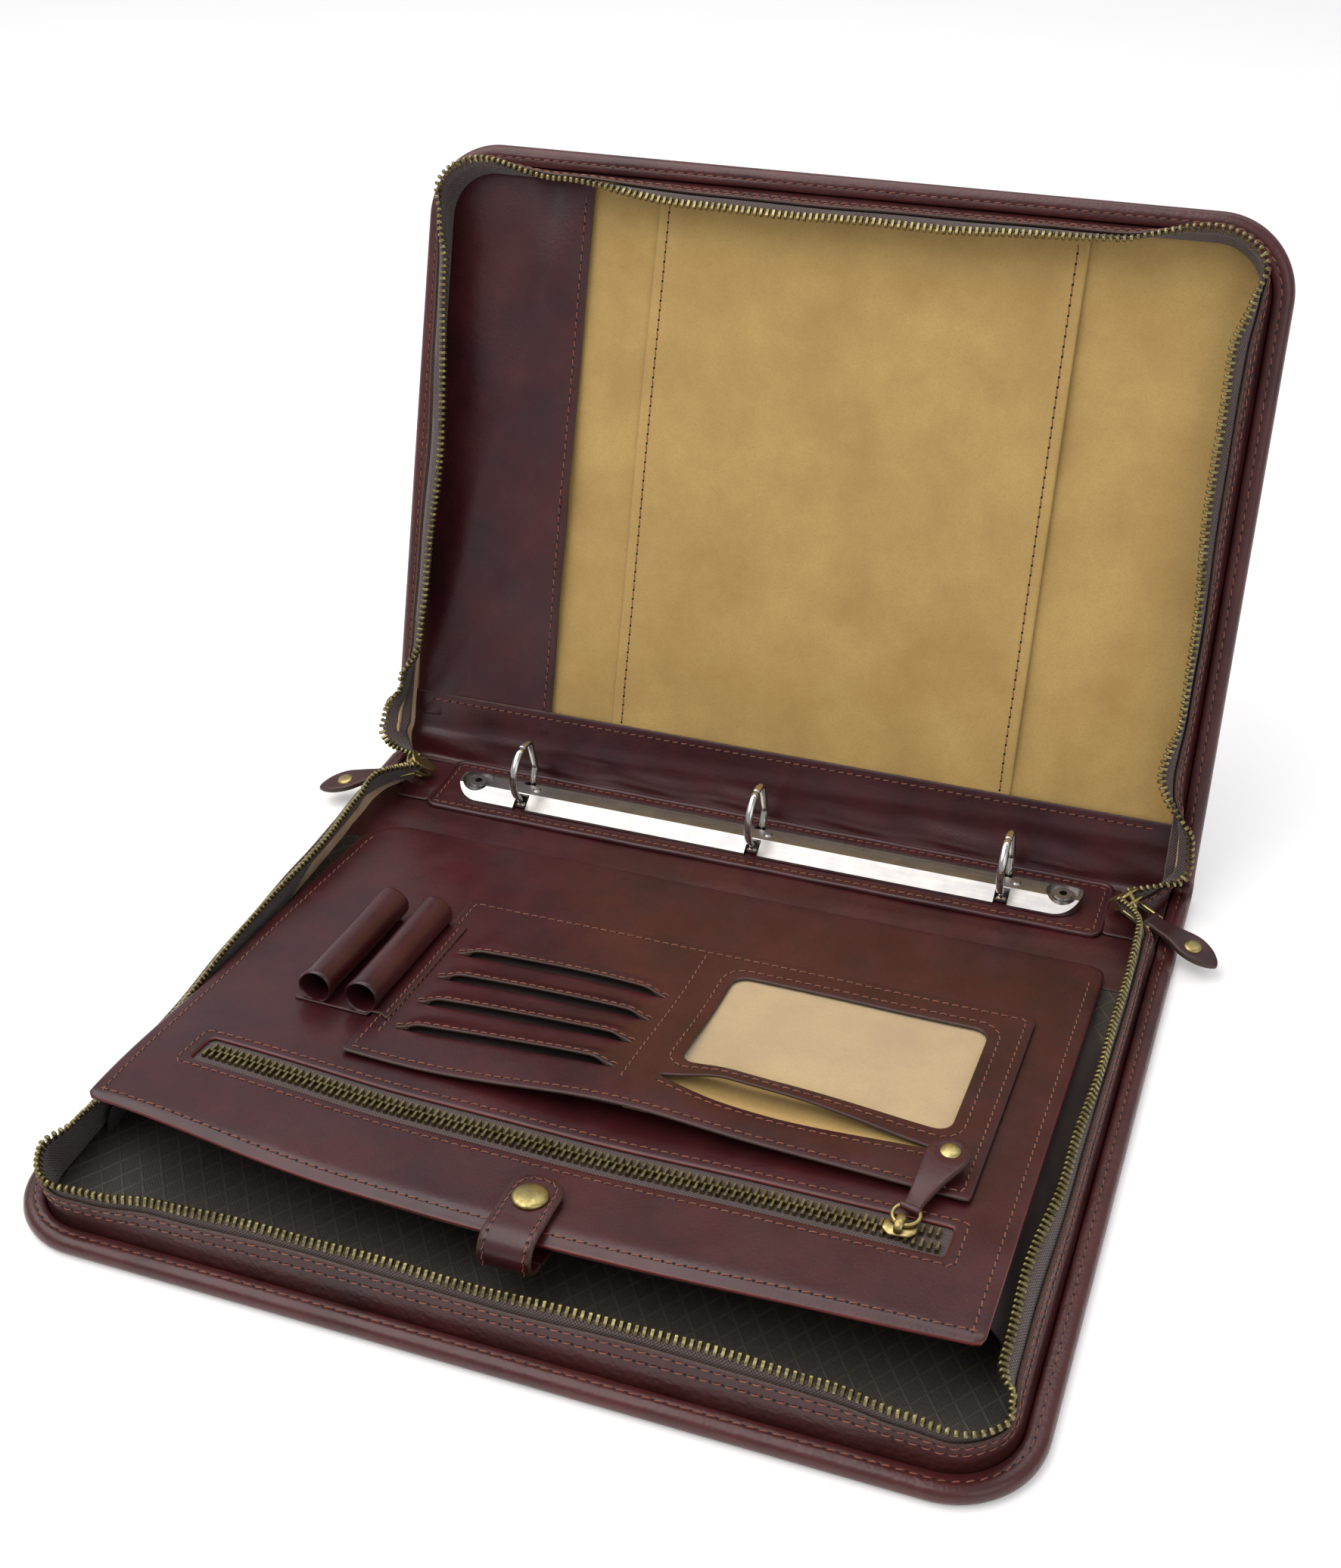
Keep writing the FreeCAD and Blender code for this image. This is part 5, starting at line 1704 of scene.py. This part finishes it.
# Strap tail, from the loop back down to the lining
tail = Piece("strap_tail_leather", PANEL, EDGE)
TAIL_LOW, TAIL_HIGH = node_box("strap_tail")
tail_line = spline([(STRAP_X, TAIL_LOW.y - 5.0, TAIL_HIGH.z - 7.4),
                    (STRAP_X, TAIL_LOW.y + 9, TAIL_HIGH.z - 11.0),
                    (STRAP_X, TAIL_LOW.y + 22, 9.0), (STRAP_X, TAIL_LOW.y + 31, 6.3),
                    (STRAP_X, TAIL_HIGH.y, 5.9)], 6)
rows = [[p + Vector((x, 0, 0)) for x in np.linspace(STRAP_HALF, -STRAP_HALF, 6)]
        for p in tail_line]
tail.ribbon(rows, 1.6, 0, 0, 1)
made = stand_in(tail, "panel_leather", "strap_tail")
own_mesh(made)

# Side gussets of the document pocket
GUSSET_T = 0.6
for node in ("left_gusset", "right_gusset"):
    low, high = node_box(node)
    x = (low.x + high.x) / 2
    outward = -1 if x < 0 else 1
    rows = []
    count = 60
    for k in range(count + 1):
        t = k / count
        y = low.y + (high.y - low.y) * t
        slope = math.tan(math.radians(PANEL_TILT))
        top = PANEL_BACK.z + (PANEL_BACK.y - y) * slope - 0.6
        line = []
        for m in range(9):
            share = m / 8
            z = low.z + (top - low.z) * share
            spread = (1 - share) * 11.0 + 2.0 * math.sin(math.pi * share)
            spread += 0.5 * math.sin(y / 11 + 3 * share)
            line.append(Vector((x + outward * spread * smooth((high.y - y) / 40), y, z)))
        rows.append(line)
    gusset = Piece(node + "_cloth", CLOTH)
    gusset.ribbon(rows, GUSSET_T)
    made = stand_in(gusset, "gusset_cloth", node)
    width = max((a - b).length for a, b in zip(rows[0], rows[0][1:])) * 8
    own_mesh(made)

# ---------------------------------------------------------------- pulls and metal

def tab_outline(length, width, root, widest_share):
    """A leaf-shaped tab along Y from the origin, anticlockwise."""
    widest = length * widest_share
    right = [(root / 2, 0.0), (root / 2 * 0.92, length * 0.12), (width * 0.36, widest * 0.6),
             (width / 2, widest), (width * 0.42, widest + (length - widest) * 0.5),
             (width * 0.2, widest + (length - widest) * 0.85), (0.0, length)]
    curve = spline([(x, y, 0) for x, y in right], 6)
    points = [Vector((p.x, p.y)) for p in curve]
    return points + [Vector((-p.x, p.y)) for p in reversed(points[:-1])]


def build_tab(name, slot_nodes, outline, place, thick, rivet_y, rivet_r, bow):
    """A folded leather tab: leaf-shaped, rolled round its ring, pressed in at its rivet."""
    def pressed(x, y):
        return bow(x, y) - 0.5 * math.exp(-(math.hypot(x, y - rivet_y) / 4.4) ** 4)

    tab = Piece(name, PANEL, EDGE)
    plate(tab, outline, place, pressed, thick, step=1.6, roll=0.9, edge_slot=1)
    root = min(p.y for p in outline)
    half = max(p.x for p in outline if p.y < root + 0.5)
    fold = [place(half * k / 5, root + 0.4, bow(0, root) + thick / 2) for k in range(-5, 6)]
    tab.tube(fold, lambda t: thick * (0.62 - 0.12 * (2 * t - 1) ** 6))
    stand_in(tab, "panel_leather", slot_nodes[0])
    rivet = Piece(name + "_rivet", BRASS)
    dome = [(0.0, 0.95), (rivet_r * 0.5, 0.92), (rivet_r * 0.8, 0.75), (rivet_r * 0.95, 0.4),
            (rivet_r, 0.0), (rivet_r, -0.3), (0.0, -0.3)]
    base_h = pressed(0, rivet_y)
    turned_shape(rivet, dome, lambda x, y, h: place(x, y + rivet_y, base_h + thick + h), 28)
    turned_shape(rivet, [(r, -h) for r, h in dome],
                 lambda x, y, h: place(x, y + rivet_y, base_h + h), 28)
    stand_in(rivet, "antique_brass", slot_nodes[1])


PULL_TURN = math.radians(-13.0)
POCKET_TAB_Y = 7.2         # a tab's foot, ahead of the pivot of its pull
MAIN_TAB_Y = 9.4
PULL_ROOT = joint_point("pocket_pull_swing")


def pocket_pull_at(x, y, h):
    """Flat on the card panel, from the ring's pivot towards the back."""
    east = x * math.cos(PULL_TURN) - y * math.sin(PULL_TURN)
    north = x * math.sin(PULL_TURN) + y * math.cos(PULL_TURN)
    flat = Vector((PULL_ROOT.x + east, PULL_ROOT.y + north, PULL_ROOT.z + h))
    return turned(flat, PULL_ROOT, 8.0 - PANEL_TILT)


build_tab("pocket_pull_leather", ("pocket_pull_tab", "pocket_pull_rivet"),
          [p + Vector((0, POCKET_TAB_Y)) for p in tab_outline(36.0, 15.5, 7.5, 0.74)], pocket_pull_at,
          2.4, 36.0, 3.7,
          lambda x, y: -1.2 + 1.2 * math.sin((y - 7) / 11) * smooth((y - 9) / 12))


MAIN_YAW = math.radians(28.0)   # the main sliders and their pulls turn forwards by this


def main_pull_place(side):
    root = joint_point(("right" if side > 0 else "left") + "_pull_swing")
    droop = math.radians(8.0)

    def place(x, y, h):
        out = y * math.cos(droop) + h * math.sin(droop)
        z = root.z - y * math.sin(droop) + h * math.cos(droop)
        return Vector((root.x + side * (out * math.cos(MAIN_YAW) + x * math.sin(MAIN_YAW)),
                       root.y - out * math.sin(MAIN_YAW) + x * math.cos(MAIN_YAW), z))
    return place


for side, name in ((1, "right"), (-1, "left")):
    build_tab(name + "_pull_leather", (name + "_pull_tab", name + "_pull_rivet"),
              [p + Vector((0, MAIN_TAB_Y)) for p in tab_outline(34.0, 13.5, 8.5, 0.6)],
              main_pull_place(side), 2.6, MAIN_TAB_Y + 21.5, 3.6,
              lambda x, y: -1.3 + 0.8 * math.sin((y - 9) / 10) * smooth((y - 14) / 8))

MAIN_SPOT = (158.0, SPINE_MID_Y - 1.0, 13.4)
SHIELD = rounded([(-7.4, 0.0, 1.4), (-3.6, -3.3, 1.5), (1.6, -5.0, 2.0), (6.8, -5.2, 2.0),
                  (7.4, 0.0, 1.0), (6.8, 5.2, 2.0), (1.6, 5.0, 2.0), (-3.6, 3.3, 1.5)])


def main_slider_at(side):
    """Slider space: nose along -x, plates flat in x and y, tilted up and turned forwards."""
    tilt = math.radians(45.0)

    def place(x, y, h):
        if side < 0:
            y = -y
        out = x * math.cos(tilt) - h * math.sin(tilt)
        across = out * math.cos(MAIN_YAW) + y * math.sin(MAIN_YAW)
        ahead = -out * math.sin(MAIN_YAW) + y * math.cos(MAIN_YAW)
        return Vector((side * (MAIN_SPOT[0] + across), MAIN_SPOT[1] + ahead,
                       MAIN_SPOT[2] + x * math.sin(tilt) + h * math.cos(tilt)))
    return place


for side, name in ((1, "right"), (-1, "left")):
    body = Piece(name + "_slider_body", BRASS)
    place = main_slider_at(side)
    for height, crown in ((1.1, 0.5), (-2.4, 0.2)):
        plate(body, SHIELD, place,
              lambda x, y, height=height, crown=crown: height + crown * (1 - (y / 6) ** 2),
              1.3, step=1.3, roll=0.8)
    post = [place(5.2, 0, h) for h in (-1.4, 0.0, 1.6)]
    body.tube(post, 1.3)
    bridge = spline([(-3.2, 0, -2.2), (-2.9, 0, -4.4), (0.6, 0, -5.0), (4.0, 0, -4.4),
                     (4.4, 0, -2.2)], 5)
    body.tube([place(*p) for p in bridge], 0.95)
    stand_in(body, "antique_brass", name + "_main_slider")


def sweep_wire(piece, path, wide, high):
    """A flattened wire along a path that lies across X; wide is its half width in X."""
    sides = 16
    rows = []
    for i, point in enumerate(path):
        way = (path[min(i + 1, len(path) - 1)] - path[max(i - 1, 0)]).normalized()
        lift = way.cross(Vector((1, 0, 0)))
        size = 0.8 if i in (0, len(path) - 1) else 1.0
        rows.append([point + (Vector((wide * math.cos(a), 0, 0)) + lift * high * math.sin(a)) * size
                     for a in angles(sides)])
    piece.grid(rows, closed=True)
    piece.caps(rows)


# Slider of the zip pocket: a shield with turned-down sides, and a bridge for the ring
SLIDER_Z = panel_top(SLIDER_X, ZIP_MID) + 0.3
slider = Piece("pocket_slider_body", BRASS)
shield = rounded([(-5.6, -2.2, 0.8), (-3.0, -4.2, 2.0), (3.6, -3.6, 2.0), (5.9, -1.6, 1.2),
                  (5.9, 1.6, 1.2), (3.6, 3.6, 2.0), (-3.0, 4.2, 2.0), (-5.6, 2.2, 0.8)])
plate(slider, shield, lambda x, y, h: flat_at(SLIDER_X + x, ZIP_MID + y, SLIDER_Z + h),
      lambda x, y: 0.35 - 0.05 * y * y, 1.1, step=1.1, roll=0.6)
# Side view of the bridge, as (y off the zip's middle, height)
bridge_side = [(-3.3, 0.8), (-3.2, 2.9), (-1.6, 4.2), (1.6, 4.2), (3.2, 2.9), (3.3, 0.8)]
bridge = spline([(SLIDER_X, ZIP_MID + y, SLIDER_Z + h) for y, h in bridge_side], 6)
sweep_wire(slider, [flat_at(*p) for p in bridge], 1.5, 0.6)
stand_in(slider, "antique_brass", "pocket_slider")

# Ring halves: the front ones sweep round to the top, the rear ones drop straight with a bend
RING_R = 12.5
RING_Y = SPINE_MID_Y - 1.5
RING_Z = 22.0
RING_PITCH = 108.0
# Each half's leg from its foot up, as (y off the ring's centre, z), then its arc in degrees
RING_HALVES = {
    "front": ([(-6.5, 8.3), (-7.4, 11.4)], 230.0, 98.9),
    "rear": ([(6.3, 8.3), (6.1, 9.6), (8.3, 13.6), (10.4, 17.3), (10.4, 17.9)], 56.0, 97.3),
}
for half, (leg, start, end) in RING_HALVES.items():
    low, high = node_box(half + "_half_rings")
    turns = [math.radians(start + (end - start) * k / 22) for k in range(23)]
    arc = [(RING_R * math.cos(a), RING_Z + RING_R * math.sin(a)) for a in turns]
    rings = Piece(half + "_ring_wires", RING_STEEL)
    for k in (-1, 0, 1):
        x = (low.x + high.x) / 2 + k * RING_PITCH
        sweep_wire(rings, [Vector((x, RING_Y + y, z)) for y, z in leg + arc], 1.7, 1.3)
        foot_y = RING_Y + leg[0][0]
        sweep_wire(rings, [Vector((x, foot_y + dy, 8.4)) for dy in (-1.4, -0.7, 0.7, 1.4)],
                   2.3, 0.5)
    stand_in(rings, "nickel", half + "_half_rings")

FINISHES = {
    BRASS: ("left_pull_link", "right_pull_link", "pocket_pull_ring", "snap_stud"),
    NICKEL: ("ring_housing", "housing_rivets", "housing_studs"),
    FELT: ("base_edge_padding", "lid_edge_padding"),
}


def spring_steel():
    shader = Shader("spring_steel", Metallic=1.0)
    streaks = shader.noise(600, 3, shader.moved(shader.place, (0.1, 1, 1)))
    shader.colour(shader.mix(streaks, rgb(120, 120, 122), rgb(160, 160, 160)))
    shader.roughness(shader.remap(streaks, 0.3, 0.7, 0.25, 0.4))
    return shader.material


FINISHES[spring_steel()] = ("front_blade", "rear_blade")
for material, names in FINISHES.items():
    for name in names:
        node = frame["nodes"][name]
        node.data.materials.clear()
        node.data.materials.append(material)

# ---------------------------------------------------------------- camera, light, floor

CAMERA_AIM = Vector((-47.72, 184.73, 10.41))
CAMERA_AZ = 20.98
CAMERA_EL = 34.22
CAMERA_ROLL = -1.51
CAMERA_DISTANCE = 915.99
FOCAL = 47.04


def add_camera():
    az, el, roll = (math.radians(a) for a in (CAMERA_AZ, CAMERA_EL, CAMERA_ROLL))
    back = Vector((math.sin(az) * math.cos(el), -math.cos(az) * math.cos(el), math.sin(el)))
    right = Vector((math.cos(az), math.sin(az), 0.0))
    up = back.cross(right)
    turned_right = right * math.cos(roll) + up * math.sin(roll)
    turned_up = up * math.cos(roll) - right * math.sin(roll)
    camera = bpy.data.cameras.new("camera")
    camera.sensor_fit = "VERTICAL"
    camera.sensor_height = 36.0
    camera.lens = FOCAL
    made = bpy.data.objects.new("camera", camera)
    spot = (CAMERA_AIM + back * CAMERA_DISTANCE) * MM
    axes = Matrix((turned_right, turned_up, back)).transposed()
    made.matrix_world = Matrix.Translation(spot) @ axes.to_4x4()
    bpy.context.scene.collection.objects.link(made)
    bpy.context.scene.camera = made


def add_light(name, spot, aim, size, power, colour=(1, 1, 1)):
    lamp = bpy.data.lights.new(name, "AREA")
    lamp.shape = "RECTANGLE"
    lamp.size = size[0]
    lamp.size_y = size[1]
    lamp.energy = power
    lamp.color = colour
    made = bpy.data.objects.new(name, lamp)
    made.location = spot
    way = Vector(aim) - Vector(spot)
    made.rotation_euler = way.to_track_quat("-Z", "Y").to_euler()
    bpy.context.scene.collection.objects.link(made)


def add_floor():
    mesh = bpy.data.meshes.new("floor")
    span = 12.0
    mesh.from_pydata([(-span, -span, 0), (span, -span, 0), (span, span, 0),
                      (-span, span, 0)], [], [(0, 1, 2, 3)])
    shader = Shader("pale_floor", Roughness=0.7)
    shader.colour(shader.mix(shader.noise(4), rgb(236, 235, 233), rgb(240, 239, 238)))
    shader.surface.inputs["Emission Color"].default_value = (1.0, 1.0, 1.0, 1.0)
    shader.surface.inputs["Emission Strength"].default_value = 0.22
    mesh.materials.append(shader.material)
    made = bpy.data.objects.new("floor", mesh)
    made.location.z = -0.0003
    bpy.context.scene.collection.objects.link(made)


def add_world():
    """A white studio that is darker towards the floor line, so that metal reads as metal."""
    world = bpy.data.worlds.new("studio")
    world.use_nodes = True
    tree = world.node_tree
    background = tree.nodes["Background"]
    place = tree.nodes.new("ShaderNodeTexCoord")
    split = tree.nodes.new("ShaderNodeSeparateXYZ")
    ramp = tree.nodes.new("ShaderNodeValToRGB")
    ramp.color_ramp.elements[0].position = 0.02
    ramp.color_ramp.elements[0].color = (0.72, 0.72, 0.75, 1.0)
    ramp.color_ramp.elements[1].position = 0.75
    ramp.color_ramp.elements[1].color = (0.95, 0.96, 1.0, 1.0)
    tree.links.new(place.outputs["Generated"], split.inputs[0])
    tree.links.new(split.outputs["Z"], ramp.inputs["Fac"])
    tree.links.new(ramp.outputs["Color"], background.inputs["Color"])
    background.inputs["Strength"].default_value = 0.6
    bpy.context.scene.world = world


add_camera()
add_floor()
add_world()
add_light("key", (-0.7, -0.2, 1.5), (0, 0, 0), (2.2, 1.6), 27, (1.0, 0.98, 0.95))
add_light("fill", (1.3, -0.9, 1.0), (0, 0, 0), (1.2, 1.2), 5, (0.95, 0.97, 1.0))
add_light("back", (0.2, 1.0, 1.9), (0, 0.1, 0.1), (1.4, 0.6), 6)
bpy.context.scene.view_settings.view_transform = "Standard"
